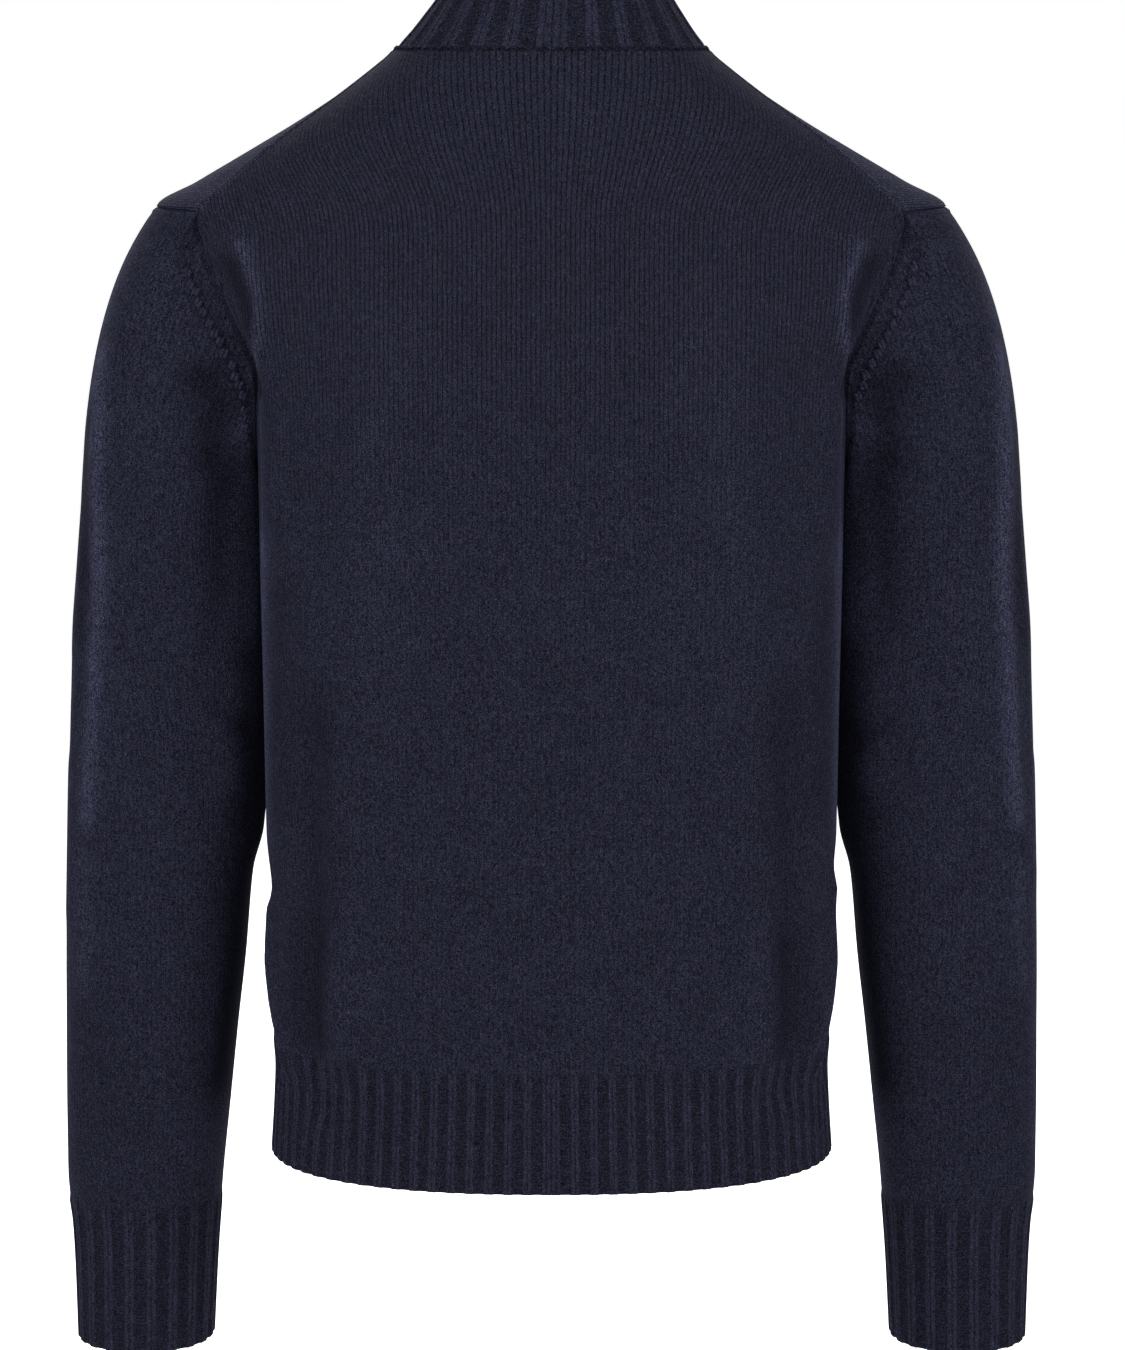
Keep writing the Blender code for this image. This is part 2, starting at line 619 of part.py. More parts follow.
def panel_walls(angle, level, side, ways, armhole_column):
    """Outer and inner points of a plain panel, mitred along the armhole."""
    outer = body_point(angle, level, side)
    inner = outer - body_normal(angle, level, side) * PANEL_WALL
    mirror = np.array((side, 1.0, 1.0))
    for row, way in ways.items():
        inward = armhole_frame(way)[2] * mirror
        inner[row, armhole_column] = outer[row, armhole_column] + inward
    return outer, inner


def back_panel(material):
    edge, ways = back_edge()
    rows = len(edge) - 1
    knots = (0, SIDE_STEPS, SIDE_STEPS + ARMHOLE_BACK_STEPS, rows)
    centre = np.interp(np.arange(rows + 1), knots, (HEM_TOP, *BACK_CENTRE_LEVELS, NECK_LEVEL))
    shares = np.linspace(0, 1, ACROSS_STEPS + 1) ** 1.15
    grid = panel_grid(edge, [(90.0, level) for level in centre], shares)
    halves = []
    for side in (1, -1):
        outer, inner = panel_walls(grid[..., 0], grid[..., 1], side, ways, 0)
        walls = []
        for points in (outer, inner):
            side_rows = points.copy()
            side_rows = pulled(side_rows, 1, 0, EDGE_PULL)
            for row in list(ways)[1:-1]:
                side_rows[row, 0] = points[row, 0]
            walls.append(side_rows)
        halves.append(walls)
    outer, inner = (
        np.concatenate([left, right[:, -2::-1]], axis=1) for left, right in zip(*halves)
    )
    outer, inner = (pulled(pulled(g, 0, -1, EDGE_PULL), 0, 0, EDGE_PULL) for g in (outer, inner))
    return wall_object("back", outer, inner, False, material)


def front_panel(name, side, material):
    edge, ways = front_outer_edge()
    shares = np.linspace(0, 1, ACROSS_STEPS + 1) ** 1.1
    grid = panel_grid(edge, front_inner_edge(), shares)
    outer, inner = panel_walls(grid[..., 0], grid[..., 1], side, ways, 0)
    walls = []
    for points in (outer, inner):
        kept = points.copy()
        kept = pulled(kept, 1, 0, EDGE_PULL)
        for row in list(ways)[1:-1]:
            kept[row, 0] = points[row, 0]
        kept = pulled(pulled(kept, 0, -1, EDGE_PULL), 0, 0, EDGE_PULL)
        walls.append(kept)
    return wall_object(name, *walls, False, material)


# ---- Sleeves -------------------------------------------------------------------------


def sleeve_ways():
    """The panel rows' places round the armhole, which the sleeve shares."""
    back = [1 + i / ARMHOLE_BACK_STEPS for i in range(ARMHOLE_BACK_STEPS)]
    front = [2 + i / ARMHOLE_FRONT_STEPS for i in range(ARMHOLE_FRONT_STEPS)]
    return np.array([i / STRIP_STEPS for i in range(STRIP_STEPS)] + back + front)


def sleeve_normal(way, travel, side):
    """Outward directions of the sleeve, from its slopes."""
    step = 0.01
    low, high = np.maximum(travel - step, 0), np.minimum(travel + step, 2)
    ahead = sleeve_point(way + step, travel, side) - sleeve_point(way - step, travel, side)
    down = sleeve_point(way, high, side) - sleeve_point(way, low, side)
    return side * unit(np.cross(down, ahead))


def sleeve(name, side, material):
    ways = sleeve_ways()
    arm = [1 + (level - SLEEVE_RING) / (CUFF_TOP - SLEEVE_RING) for level in ARM_LEVELS]
    travels = np.concatenate([np.linspace(0, 1, CAP_STEPS + 1) ** 1.2, arm[1:]])
    way, travel = np.meshgrid(ways, travels)
    outer = sleeve_point(way, travel, side)
    inner = outer - sleeve_normal(way, travel, side) * PANEL_WALL
    _, _, inward, across, _ = armhole_frame(ways)
    mirror = np.array((side, 1.0, 1.0))
    wider = 1 + (CORNER_GAP - 1) * np.exp(-(((ways - 1) / CORNER_SPREAD) ** 2))
    gap = across * SEAM_GAP * mirror * wider[:, None]
    inner[0] = outer[0] + inward * mirror + gap
    outer[0] = outer[0] + gap
    outer, inner = (pulled(points, 0, -1, EDGE_PULL) for points in (outer, inner))
    return wall_object(name, outer, inner, True, material)


# ---- Ribbed pieces -------------------------------------------------------------------

RIB_PHASES = (0.10, 0.40, 0.60, 0.90)  # valley, valley, ridge, ridge
RIB_HEIGHTS = (0.0, 0.0, 1.0, 1.0)


def rib_places(count, closed=False):
    """Where the points of a row of ribs lie from 0 to 1, and how high each is."""
    places, heights = [], []
    for rib in range(count):
        for phase, height in zip(RIB_PHASES, RIB_HEIGHTS):
            places.append((rib + phase) / count)
            heights.append(height)
    if not closed:
        places, heights = [0.0] + places + [1.0], [0.0] + heights + [0.0]
    return np.array(places), np.array(heights)


def even_angles(places, low_angle, high_angle, point_at):
    """Angles that lie evenly along a section, by its own length."""
    fine = np.linspace(low_angle, high_angle, 400)
    line = point_at(fine)
    travelled = np.concatenate([[0], np.cumsum(np.linalg.norm(np.diff(line, axis=0), axis=1))])
    return np.interp(places * travelled[-1], travelled, fine)


def ribbed_walls(angles, heights, inner_angles, rows, inner_rows, surface, normal, side):
    """Ribs raised in the outer points of a wall over a plain inside."""
    angle, row = np.meshgrid(angles, rows)
    lift = (heights * RIB_RISE - RIB_SINK)[None, :, None]
    outer = surface(angle, row, side) + normal(angle, row, side) * lift
    angle, row = np.meshgrid(inner_angles, inner_rows)
    depth = RIB_WALL + RIB_SINK
    inner = surface(angle, row, side) - normal(angle, row, side) * depth
    return outer, inner


def hem_half(side, low_angle, high_angle, ribs):
    """One side's share of the hem rib, from one angle to the other."""

    def middle(angle):
        return body_point(angle, HEM_LEVELS[1], side)

    places, heights = rib_places(ribs)
    angles = even_angles(places, low_angle, high_angle, middle)
    plain = even_angles(np.linspace(0, 1, 2 * ribs + 1), low_angle, high_angle, middle)
    rows = np.array(HEM_LEVELS)
    rows[0] -= SEAM_GAP
    return ribbed_walls(angles, heights, plain, rows, rows, body_point, body_normal, side)


def hem_front(name, side, material):
    start = centre_angle(HEM_LEVELS[1])
    walls = hem_half(side, start, 0.0, HEM_RIBS_FRONT)
    walls = [pulled(points, 1, -1, EDGE_PULL) for points in walls]
    return wall_object(name, *walls, False, material)


def hem_back(material):
    left = hem_half(1, 0.0, 90.0, HEM_RIBS_BACK // 2)
    right = hem_half(-1, 0.0, 90.0, HEM_RIBS_BACK // 2)
    walls = []
    for a, b in zip(left, right):
        a, b = pulled(a, 1, 0, EDGE_PULL), pulled(b, 1, 0, EDGE_PULL)
        walls.append(np.concatenate([a, b[:, -2::-1]], axis=1))
    return wall_object("hem_rib_back", *walls, False, material)


def cuff_point(turn, level, side=1):
    return tube_point(turn, level) * np.array((side, 1.0, 1.0))


def cuff(name, side, material):
    places, heights = rib_places(CUFF_RIBS, closed=True)

    def middle(turn):
        return cuff_point(turn, CUFF_LEVELS[1], side)

    turns = even_angles(places, 0.0, 360.0, middle)
    plain = even_angles(np.arange(2 * CUFF_RIBS) / (2 * CUFF_RIBS), 0.0, 360.0, middle)
    rows = np.array(CUFF_LEVELS)
    rows[0] -= SEAM_GAP

    def normal(turn, level, which):
        return normals(cuff_point, turn, level, which)

    walls = ribbed_walls(turns, heights, plain, rows, rows, cuff_point, normal, side)
    return wall_object(name, *walls, True, material)


def collar(material):
    def seam_line(angle):
        return collar_point(angle, 0.0)

    start = centre_angle(NECK_EDGE_LEVEL)

    def spread(angle, rise):
        """Keeps the collar's front edges apart by the zip as the collar narrows."""
        reach = np.abs(collar_point(-90.0, rise)[..., 1])
        edge = -90 + np.degrees(FRONT_EDGE / reach)
        return np.where(angle < 0, angle * edge / start, angle)

    def face(angle, rise, side):
        return collar_point(spread(angle, rise), rise, side)

    def out(angle, rise, side):
        return collar_normal(spread(angle, rise), rise, side)

    front_places, front_heights = rib_places(COLLAR_RIBS_FRONT)
    back_places, back_heights = rib_places(COLLAR_RIBS_BACK // 2)
    front = even_angles(front_places, start, 0.0, seam_line)
    back = even_angles(back_places, 0.0, 90.0, seam_line)
    angles = np.concatenate([front[:-1], back[1:]])
    heights = np.concatenate([front_heights[:-1], back_heights[1:]])
    plain_front = even_angles(np.linspace(0, 1, 2 * COLLAR_RIBS_FRONT + 1), start, 0, seam_line)
    plain_back = even_angles(np.linspace(0, 1, COLLAR_RIBS_BACK + 1), 0, 90, seam_line)
    plain = np.concatenate([plain_front, plain_back[1:]])
    rises = np.array(COLLAR_RISES)
    halves = []
    for side in (1, -1):
        halves.append(
            ribbed_walls(angles, heights, plain, rises, rises, face, out, side)
        )
    walls = []
    for a, b in zip(*halves):
        points = np.concatenate([a, b[:, -2::-1]], axis=1)
        points[0] = points[0] + unit(points[1] - points[0]) * NECK_GAP
        walls.append(points)
    return wall_object("collar", *walls, False, material)


# ---- Zip -----------------------------------------------------------------------------


def front_line(x, station):
    """Outer face beside the zip: stations below 0 are levels, 0 to 1 is the collar."""
    side = -1 if x < 0 else 1
    if station < 0:
        depth = body_section(station).front_depth
        angle = math.degrees(math.atan2(-depth, abs(x)))
        return body_point(angle, station, side), body_normal(angle, station, side)
    depth = abs(collar_point(-90.0, station)[1])
    angle = math.degrees(math.atan2(-depth, abs(x)))
    return collar_point(angle, station, side), collar_normal(angle, station, side)


def zip_stations(top):
    """Levels up the fronts, then parts of the collar's height."""
    hem = [HEM_EDGE + ZIP_FOOT, HEM_LEVELS[1], HEM_TOP]
    fronts = np.linspace(*ZIP_FRONT_LEVELS, 13)
    return hem + list(fronts) + list(np.linspace(ZIP_COLLAR_START, top, 7))


def zip_band(name, columns, depth, thickness, top, material):
    """A band along the zip at a depth inside the cloth's outer face."""
    outer, inner = [], []
    for station in zip_stations(top):
        outer_row, inner_row = [], []
        for x in columns:
            point, out = front_line(x, station)
            outer_row.append(point - out * depth)
            inner_row.append(point - out * (depth + thickness))
        outer.append(outer_row)
        inner.append(inner_row)
    return wall_object(name, np.array(outer), np.array(inner), False, material)


def slider_frame(rise):
    """Middle of the slider on the collar's face, its outward way and its way up the zip."""
    point, _ = front_line(0.0, rise)
    above, _ = front_line(0.0, rise + 0.02)
    upward = unit((above - point) * np.array((0.0, 1.0, 1.0)))
    outward = np.array((0.0, -upward[2], upward[1]))
    return point, outward, upward


def box_between(name, low, high, bevel, material):
    """A box with eased edges in the slider's own frame: across, outward and up the zip."""
    mesh = bmesh.new()
    bmesh.ops.create_cube(mesh, size=1.0)
    size = [b - a for a, b in zip(low, high)]
    bmesh.ops.scale(mesh, vec=size, verts=mesh.verts)
    bmesh.ops.translate(mesh, vec=[(a + b) / 2 for a, b in zip(low, high)], verts=mesh.verts)
    bmesh.ops.bevel(
        mesh, geom=mesh.edges, offset=bevel, segments=1, affect="EDGES", clamp_overlap=True
    )
    data = bpy.data.meshes.new(name)
    mesh.to_mesh(data)
    mesh.free()
    return add_object(name, data, material)


def union(piece, others):
    """Joins solids into one closed body and removes the ones taken in."""
    for other in others:
        join = piece.modifiers.new("join", "BOOLEAN")
        join.operation = "UNION"
        join.object = other
    bpy.context.view_layer.update()
    evaluated = piece.evaluated_get(bpy.context.evaluated_depsgraph_get())
    joined = bpy.data.meshes.new_from_object(evaluated)
    piece.modifiers.clear()
    piece.data = joined
    for other in others:
        bpy.data.objects.remove(other, do_unlink=True)
    return piece


def place_in_frame(piece, origin, outward, upward):
    """Sets a piece made in the slider's frame onto the collar."""
    across = np.cross(outward, upward)
    matrix = Matrix.Identity(4)
    for row in range(3):
        matrix[row][0] = across[row]
        matrix[row][1] = outward[row]
        matrix[row][2] = upward[row]
        matrix[row][3] = origin[row]
    piece.matrix_world = matrix


def zip_slider(material):
    origin, outward, upward = slider_frame(SLIDER_RISE)
    half = SLIDER_LENGTH / 2
    front = SLIDER_PROUD + SLIDER_PLATE_THICK
    plate = box_between(
        "zip_slider",
        (-SLIDER_PLATE_HALF_WIDTH, SLIDER_PROUD, -half),
        (SLIDER_PLATE_HALF_WIDTH, front, half),
        0.0004,
        material,
    )
    core = box_between(
        "slider_core",
        (-SLIDER_CORE_HALF_WIDTH, -CHAIN_TOP - CHAIN_THICK, -half + 0.0006),
        (SLIDER_CORE_HALF_WIDTH, SLIDER_PROUD + 0.0006, half - 0.0006),
        0.0003,
        material,
    )
    parts = [core]
    low, high = half - 0.0008 - BAIL_LENGTH, half - 0.0008
    top = front + BAIL_ROOM
    spans = (
        (front - 0.0005, top + BAIL_THICK, low, low + BAIL_THICK),
        (front - 0.0005, top + BAIL_THICK, high - BAIL_THICK, high),
        (top, top + BAIL_THICK, low + 0.0003, high - 0.0003),
    )
    for i, (near, far, bottom, ceiling) in enumerate(spans):
        parts.append(
            box_between(
                f"slider_bail_{i}",
                (-BAIL_WIDTH / 2, near, bottom),
                (BAIL_WIDTH / 2, far, ceiling),
                0.0002,
                material,
            )
        )
    slider = union(plate, parts)
    place_in_frame(slider, origin, outward, upward)
    axis_out = front + BAIL_ROOM / 2
    axis_up = (low + high) / 2
    return origin + outward * axis_out + upward * axis_up, outward, upward


def pull_tab(material, axis_point, outward, upward):
    """The tab in its own frame, its pin along the first axis at the origin."""
    below = -TAB_ARM_LENGTH
    thick = TAB_THICK / 2
    grip = box_between(
        "pull_tab",
        (-TAB_HALF_WIDTH, -thick, -TAB_LENGTH),
        (TAB_HALF_WIDTH, thick, below),
        0.0004,
        material,
    )
    parts = []
    for i, sign in enumerate((-1, 1)):
        near, far = sorted((sign * TAB_SLOT_HALF_WIDTH, sign * TAB_HALF_WIDTH))
        parts.append(
            box_between(
                f"tab_arm_{i}",
                (near, -PIN_RADIUS, below - 0.0006),
                (far, PIN_RADIUS, PIN_RADIUS),
                0.0003,
                material,
            )
        )
    reach = TAB_SLOT_HALF_WIDTH + 0.0005
    parts.append(
        box_between(
            "tab_pin",
            (-reach, -PIN_RADIUS * 0.8, -PIN_RADIUS * 0.8),
            (reach, PIN_RADIUS * 0.8, PIN_RADIUS * 0.8),
            0.0002,
            material,
        )
    )
    tab = union(grip, parts)
    place_in_frame(tab, axis_point, outward, upward)
    return tab


def make_zip(tape_cloth, metal):
    for name, side in (("zip_tape_left", 1), ("zip_tape_right", -1)):
        columns = [side * x for x in (0.0004, TAPE_WIDTH / 2, TAPE_WIDTH)]
        zip_band(name, columns, TAPE_DEPTH, TAPE_THICK, TAPE_TOP, tape_cloth)
    chain = (-CHAIN_HALF_WIDTH, CHAIN_HALF_WIDTH)
    zip_band("zip_chain", chain, CHAIN_TOP, CHAIN_THICK, CHAIN_TOP_RISE, metal)
    axis_point, outward, upward = zip_slider(metal)
    pull_tab(metal, axis_point, outward, upward)


def main():
    navy = make_material("navy_wool", (0.018, 0.019, 0.033), 0.92)
    ribbed = make_material("navy_rib", (0.015, 0.016, 0.028), 0.94)
    tape = make_material("navy_tape", (0.012, 0.013, 0.022), 0.80)
    metal = make_material("dark_metal", (0.12, 0.12, 0.13), 0.38, 1.0)
    back_panel(navy)
    for name, side in (("left", 1), ("right", -1)):
        front_panel(f"front_{name}", side, navy)
        sleeve(f"sleeve_{name}", side, navy)
        cuff(f"cuff_{name}", side, ribbed)
        hem_front(f"hem_rib_front_{name}", side, ribbed)
    hem_back(ribbed)
    collar(ribbed)
    make_zip(tape, metal)


for old in list(bpy.data.objects):
    bpy.data.objects.remove(old, do_unlink=True)
sweater = bpy.data.collections.new("sweater")
bpy.context.scene.collection.children.link(sweater)
main()
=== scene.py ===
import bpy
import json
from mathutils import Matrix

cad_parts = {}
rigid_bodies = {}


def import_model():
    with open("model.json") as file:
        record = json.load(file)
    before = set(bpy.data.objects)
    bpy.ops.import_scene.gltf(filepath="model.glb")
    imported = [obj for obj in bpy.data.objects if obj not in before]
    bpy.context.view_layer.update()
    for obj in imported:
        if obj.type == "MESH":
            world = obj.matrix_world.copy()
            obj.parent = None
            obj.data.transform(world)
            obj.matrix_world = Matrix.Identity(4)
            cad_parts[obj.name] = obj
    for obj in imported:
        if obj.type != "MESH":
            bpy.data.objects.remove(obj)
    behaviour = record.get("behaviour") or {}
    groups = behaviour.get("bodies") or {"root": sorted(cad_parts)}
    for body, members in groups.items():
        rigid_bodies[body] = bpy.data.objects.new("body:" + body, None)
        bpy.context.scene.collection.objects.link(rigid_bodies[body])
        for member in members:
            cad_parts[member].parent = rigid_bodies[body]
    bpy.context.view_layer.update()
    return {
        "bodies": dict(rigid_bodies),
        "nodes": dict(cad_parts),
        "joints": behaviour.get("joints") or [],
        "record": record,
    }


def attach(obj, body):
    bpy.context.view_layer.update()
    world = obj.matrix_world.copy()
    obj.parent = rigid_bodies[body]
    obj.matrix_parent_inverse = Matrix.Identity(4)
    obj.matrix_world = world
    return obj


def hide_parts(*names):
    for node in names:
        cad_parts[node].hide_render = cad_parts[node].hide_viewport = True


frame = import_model()

import json
import math

import bmesh
import bpy
import numpy as np
from mathutils import Matrix, Vector

scene = bpy.context.scene
bothSides = (("Left", "_left", 1), ("Right", "_right", -1))  # the wearer's left is +X

# The garment's cut, as in the part's source. Metres, +Z up, the back faces +Y.
cut = {
    "panelWall": 0.0024,
    "ribWall": 0.0028,
    "ribRise": 0.0013,
    "ribSink": 0.0005,
    "hemTop": -0.572,
    "hemEdge": -0.641,
    "armpit": -0.235,
    "sleeveRing": -0.262,
    "cuffTop": -0.676,
    "cuffEdge": -0.765,
    "neckLevel": -0.003,
    "neckAngle": 3.0,
    "neckEdgeLevel": -0.070,
    "frontEdge": 0.0035,
    "walePitch": 0.0027,
    "coursePitch": 0.0020,
}

# level, half width, depth behind, depth in front, squareness
bodyRows = (
    (0.000, 0.0850, 0.0750, 0.0620, 2.30),
    (-0.009, 0.0955, 0.0785, 0.0640, 2.30),
    (-0.026, 0.1180, 0.0850, 0.0685, 2.30),
    (-0.043, 0.1440, 0.0905, 0.0735, 2.32),
    (-0.060, 0.1725, 0.0955, 0.0785, 2.34),
    (-0.077, 0.2015, 0.1000, 0.0835, 2.38),
    (-0.091, 0.2245, 0.1035, 0.0880, 2.40),
    (-0.110, 0.2110, 0.1085, 0.0955, 2.45),
    (-0.127, 0.2055, 0.1125, 0.1020, 2.50),
    (-0.147, 0.1935, 0.1160, 0.1090, 2.60),
    (-0.165, 0.1815, 0.1180, 0.1140, 2.72),
    (-0.180, 0.1735, 0.1190, 0.1175, 2.85),
    (-0.200, 0.1690, 0.1195, 0.1205, 2.90),
    (-0.235, 0.1680, 0.1190, 0.1225, 2.85),
    (-0.300, 0.1675, 0.1165, 0.1225, 2.75),
    (-0.380, 0.1665, 0.1120, 0.1185, 2.65),
    (-0.450, 0.1658, 0.1095, 0.1150, 2.58),
    (-0.493, 0.1622, 0.1095, 0.1140, 2.54),
    (-0.529, 0.1652, 0.1115, 0.1145, 2.50),
    (-0.546, 0.1650, 0.1125, 0.1145, 2.46),
    (-0.572, 0.1628, 0.1125, 0.1125, 2.42),
    (-0.590, 0.1612, 0.1130, 0.1120, 2.38),
    (-0.610, 0.1620, 0.1145, 0.1130, 2.35),
    (-0.641, 0.1640, 0.1165, 0.1145, 2.33),
)
# way along, angle, level
stripEndRows = ((0.0, 0.0, -0.0908), (0.5, 9.0, -0.0909), (1.0, 17.1, -0.0915))
armholeBackRows = (
    (0.00, 17.1, -0.0915),
    (0.12, 15.4, -0.1080),
    (0.26, 15.9, -0.1270),
    (0.41, 16.6, -0.1470),
    (0.62, 16.5, -0.1780),
    (0.77, 14.0, -0.2010),
    (0.90, 7.6, -0.2230),
    (1.00, 0.0, -0.2350),
)
armholeFrontRows = (
    (0.00, 0.0, -0.2350),
    (0.10, -8.0, -0.2250),
    (0.24, -16.0, -0.2060),
    (0.40, -21.5, -0.1770),
    (0.56, -23.5, -0.1470),
    (0.72, -21.0, -0.1190),
    (0.87, -12.0, -0.0975),
    (1.00, 0.0, -0.0908),
)
shoulderRows = (
    (0.00, 17.1, -0.0915),
    (0.20, 16.3, -0.0765),
    (0.38, 14.0, -0.0615),
    (0.57, 10.8, -0.0455),
    (0.75, 7.2, -0.0280),
    (0.90, 4.6, -0.0120),
    (1.00, cut["neckAngle"], cut["neckLevel"]),
)
necklineRows = (
    (-90.0, -0.0700),
    (-75.0, -0.0630),
    (-55.0, -0.0440),
    (-35.0, -0.0230),
    (-17.0, -0.0095),
    (-cut["neckAngle"], cut["neckLevel"]),
)
# level, inner x, outer x, half depth, middle y
sleeveRows = (
    (-0.262, 0.1700, 0.2731, 0.0620, -0.022),
    (-0.300, 0.1700, 0.2766, 0.0605, -0.022),
    (-0.336, 0.1698, 0.2798, 0.0585, -0.022),
    (-0.371, 0.1694, 0.2812, 0.0565, -0.022),
    (-0.424, 0.1690, 0.2833, 0.0540, -0.022),
    (-0.452, 0.1712, 0.2842, 0.0530, -0.022),
    (-0.481, 0.1760, 0.2850, 0.0520, -0.022),
    (-0.531, 0.1806, 0.2862, 0.0500, -0.022),
    (-0.571, 0.1854, 0.2868, 0.0485, -0.023),
    (-0.626, 0.1915, 0.2876, 0.0465, -0.025),
    (-0.662, 0.1955, 0.2877, 0.0450, -0.026),
    (-0.676, 0.1968, 0.2870, 0.0440, -0.027),
    (-0.694, 0.1985, 0.2850, 0.0428, -0.028),
    (-0.718, 0.2004, 0.2840, 0.0420, -0.029),
    (-0.765, 0.2032, 0.2831, 0.0420, -0.030),
)
leanRows = (
    (0.00, 0.00),
    (0.13, 0.25),
    (0.22, 0.40),
    (0.31, 0.54),
    (0.40, 0.68),
    (0.48, 0.79),
    (0.57, 0.88),
    (0.67, 0.945),
    (0.80, 0.98),
    (1.00, 1.00),
)
# Soft ridges and troughs: side (0 is both), angle, level, to angle, to level, half width, height
bodyFolds = (
    (0, 21.5, -0.112, 24.0, -0.150, 0.011, 0.0035),
    (0, 24.0, -0.160, 24.5, -0.262, 0.013, 0.0040),
    (0, 18.6, -0.128, 18.8, -0.190, 0.007, -0.0040),
    (+1, 52.0, -0.150, 43.0, -0.330, 0.024, 0.0034),
    (-1, 50.0, -0.165, 42.0, -0.310, 0.026, 0.0030),
    (+1, 39.0, -0.400, 35.0, -0.560, 0.016, 0.0034),
    (-1, 40.0, -0.425, 34.0, -0.565, 0.017, 0.0030),
    (+1, 30.0, -0.385, 29.0, -0.600, 0.012, -0.0040),
    (-1, 29.5, -0.400, 29.0, -0.590, 0.013, -0.0036),
    (+1, 9.0, -0.497, 19.5, -0.577, 0.009, 0.0045),
    (-1, 8.0, -0.485, 19.0, -0.575, 0.010, 0.0042),
    (0, 4.0, -0.545, 11.0, -0.590, 0.008, -0.0025),
    (+1, 66.0, -0.300, 62.0, -0.470, 0.022, -0.0020),
    (-1, 64.0, -0.280, 63.0, -0.440, 0.022, -0.0020),
    (0, -27.0, -0.165, -30.0, -0.262, 0.014, 0.0038),
    (+1, -40.0, -0.235, -33.0, -0.420, 0.018, -0.0035),
    (-1, -42.0, -0.250, -34.0, -0.400, 0.018, -0.0032),
    (+1, -56.0, -0.180, -48.0, -0.380, 0.022, 0.0030),
    (-1, -58.0, -0.200, -47.0, -0.410, 0.022, 0.0032),
    (+1, -34.0, -0.455, -31.0, -0.585, 0.014, -0.0034),
    (-1, -33.0, -0.440, -30.0, -0.590, 0.014, -0.0036),
    (+1, -43.0, -0.470, -40.0, -0.570, 0.016, 0.0028),
    (-1, -42.0, -0.480, -41.0, -0.575, 0.016, 0.0028),
    (0, -10.0, -0.500, -19.0, -0.575, 0.010, 0.0040),
    # finer ones that only the surface has
    (0, 24.4, -0.109, 27.0, -0.133, 0.0046, 0.0022),
    (0, 27.2, -0.143, 25.5, -0.168, 0.0046, 0.0022),
    (0, 22.0, -0.124, 24.0, -0.150, 0.0065, -0.0034),
    (0, 24.5, -0.238, 24.5, -0.254, 0.014, 0.0014),
    (0, -6.0, -0.262, -6.0, -0.440, 0.020, -0.0025),
    (+1, 33.0, -0.250, 37.0, -0.300, 0.008, -0.0009),
    (-1, 32.0, -0.262, 36.0, -0.322, 0.008, -0.0010),
    (+1, 74.0, -0.500, 80.0, -0.545, 0.015, 0.0010),
    (-1, 60.0, -0.488, 52.0, -0.535, 0.014, 0.0011),
    (+1, 47.0, -0.530, 51.0, -0.566, 0.009, -0.0008),
    (-1, 76.0, -0.515, 70.0, -0.560, 0.011, -0.0009),
    (0, 84.0, -0.095, 80.0, -0.140, 0.020, 0.0008),
    (+1, -68.0, -0.330, -60.0, -0.430, 0.014, -0.0014),
    (-1, -66.0, -0.350, -62.0, -0.470, 0.013, -0.0012),
)
# turn: 0 outside, 90 behind, 180 towards the body, 270 in front
sleeveFolds = (
    (0, 42.0, -0.180, 38.0, -0.345, 0.013, 0.0026),
    (+1, 36.0, -0.380, 30.0, -0.500, 0.013, 0.0022),
    (-1, 37.0, -0.370, 31.0, -0.480, 0.013, 0.0022),
    (0, 8.0, -0.240, 6.0, -0.400, 0.010, -0.0018),
    (+1, 128.0, -0.376, 150.0, -0.392, 0.006, -0.0032),
    (-1, 126.0, -0.384, 150.0, -0.400, 0.006, -0.0030),
    (0, 130.0, -0.250, 128.0, -0.330, 0.012, -0.0026),
    (+1, 205.0, -0.405, 268.0, -0.432, 0.009, -0.0046),
    (-1, 208.0, -0.398, 262.0, -0.428, 0.009, -0.0042),
    (+1, 220.0, -0.448, 292.0, -0.440, 0.010, -0.0038),
    (-1, 216.0, -0.452, 286.0, -0.447, 0.010, -0.0040),
    (+1, 228.0, -0.425, 285.0, -0.415, 0.009, 0.0026),
    (-1, 226.0, -0.420, 282.0, -0.412, 0.009, 0.0026),
    (0, 236.0, -0.220, 222.0, -0.310, 0.012, -0.0030),
    (0, 255.0, -0.540, 240.0, -0.640, 0.013, -0.0022),
    (0, 75.0, -0.560, 88.0, -0.655, 0.013, 0.0020),
    (0, 172.0, -0.244, 172.0, -0.455, 0.017, 0.0028),
    (0, 46.0, -0.217, 55.0, -0.314, 0.0050, 0.0014),
    (0, 54.0, -0.325, 44.0, -0.444, 0.0050, 0.0014),
    (0, 35.0, -0.215, 42.0, -0.300, 0.0060, -0.0012),
    (0, 40.0, -0.320, 31.0, -0.450, 0.0060, -0.0012),
    (+1, 100.0, -0.300, 96.0, -0.365, 0.009, -0.0010),
    (-1, 104.0, -0.316, 98.0, -0.380, 0.009, -0.0011),
    (+1, 60.0, -0.440, 70.0, -0.520, 0.012, -0.0010),
    (-1, 64.0, -0.452, 72.0, -0.505, 0.012, -0.0009),
    (0, 50.0, -0.640, 96.0, -0.652, 0.006, -0.0008),
    (0, 20.0, -0.655, 60.0, -0.664, 0.005, 0.0006),
    (+1, 316.0, -0.470, 330.0, -0.530, 0.009, -0.0013),
    (-1, 312.0, -0.480, 328.0, -0.540, 0.009, -0.0012),
)
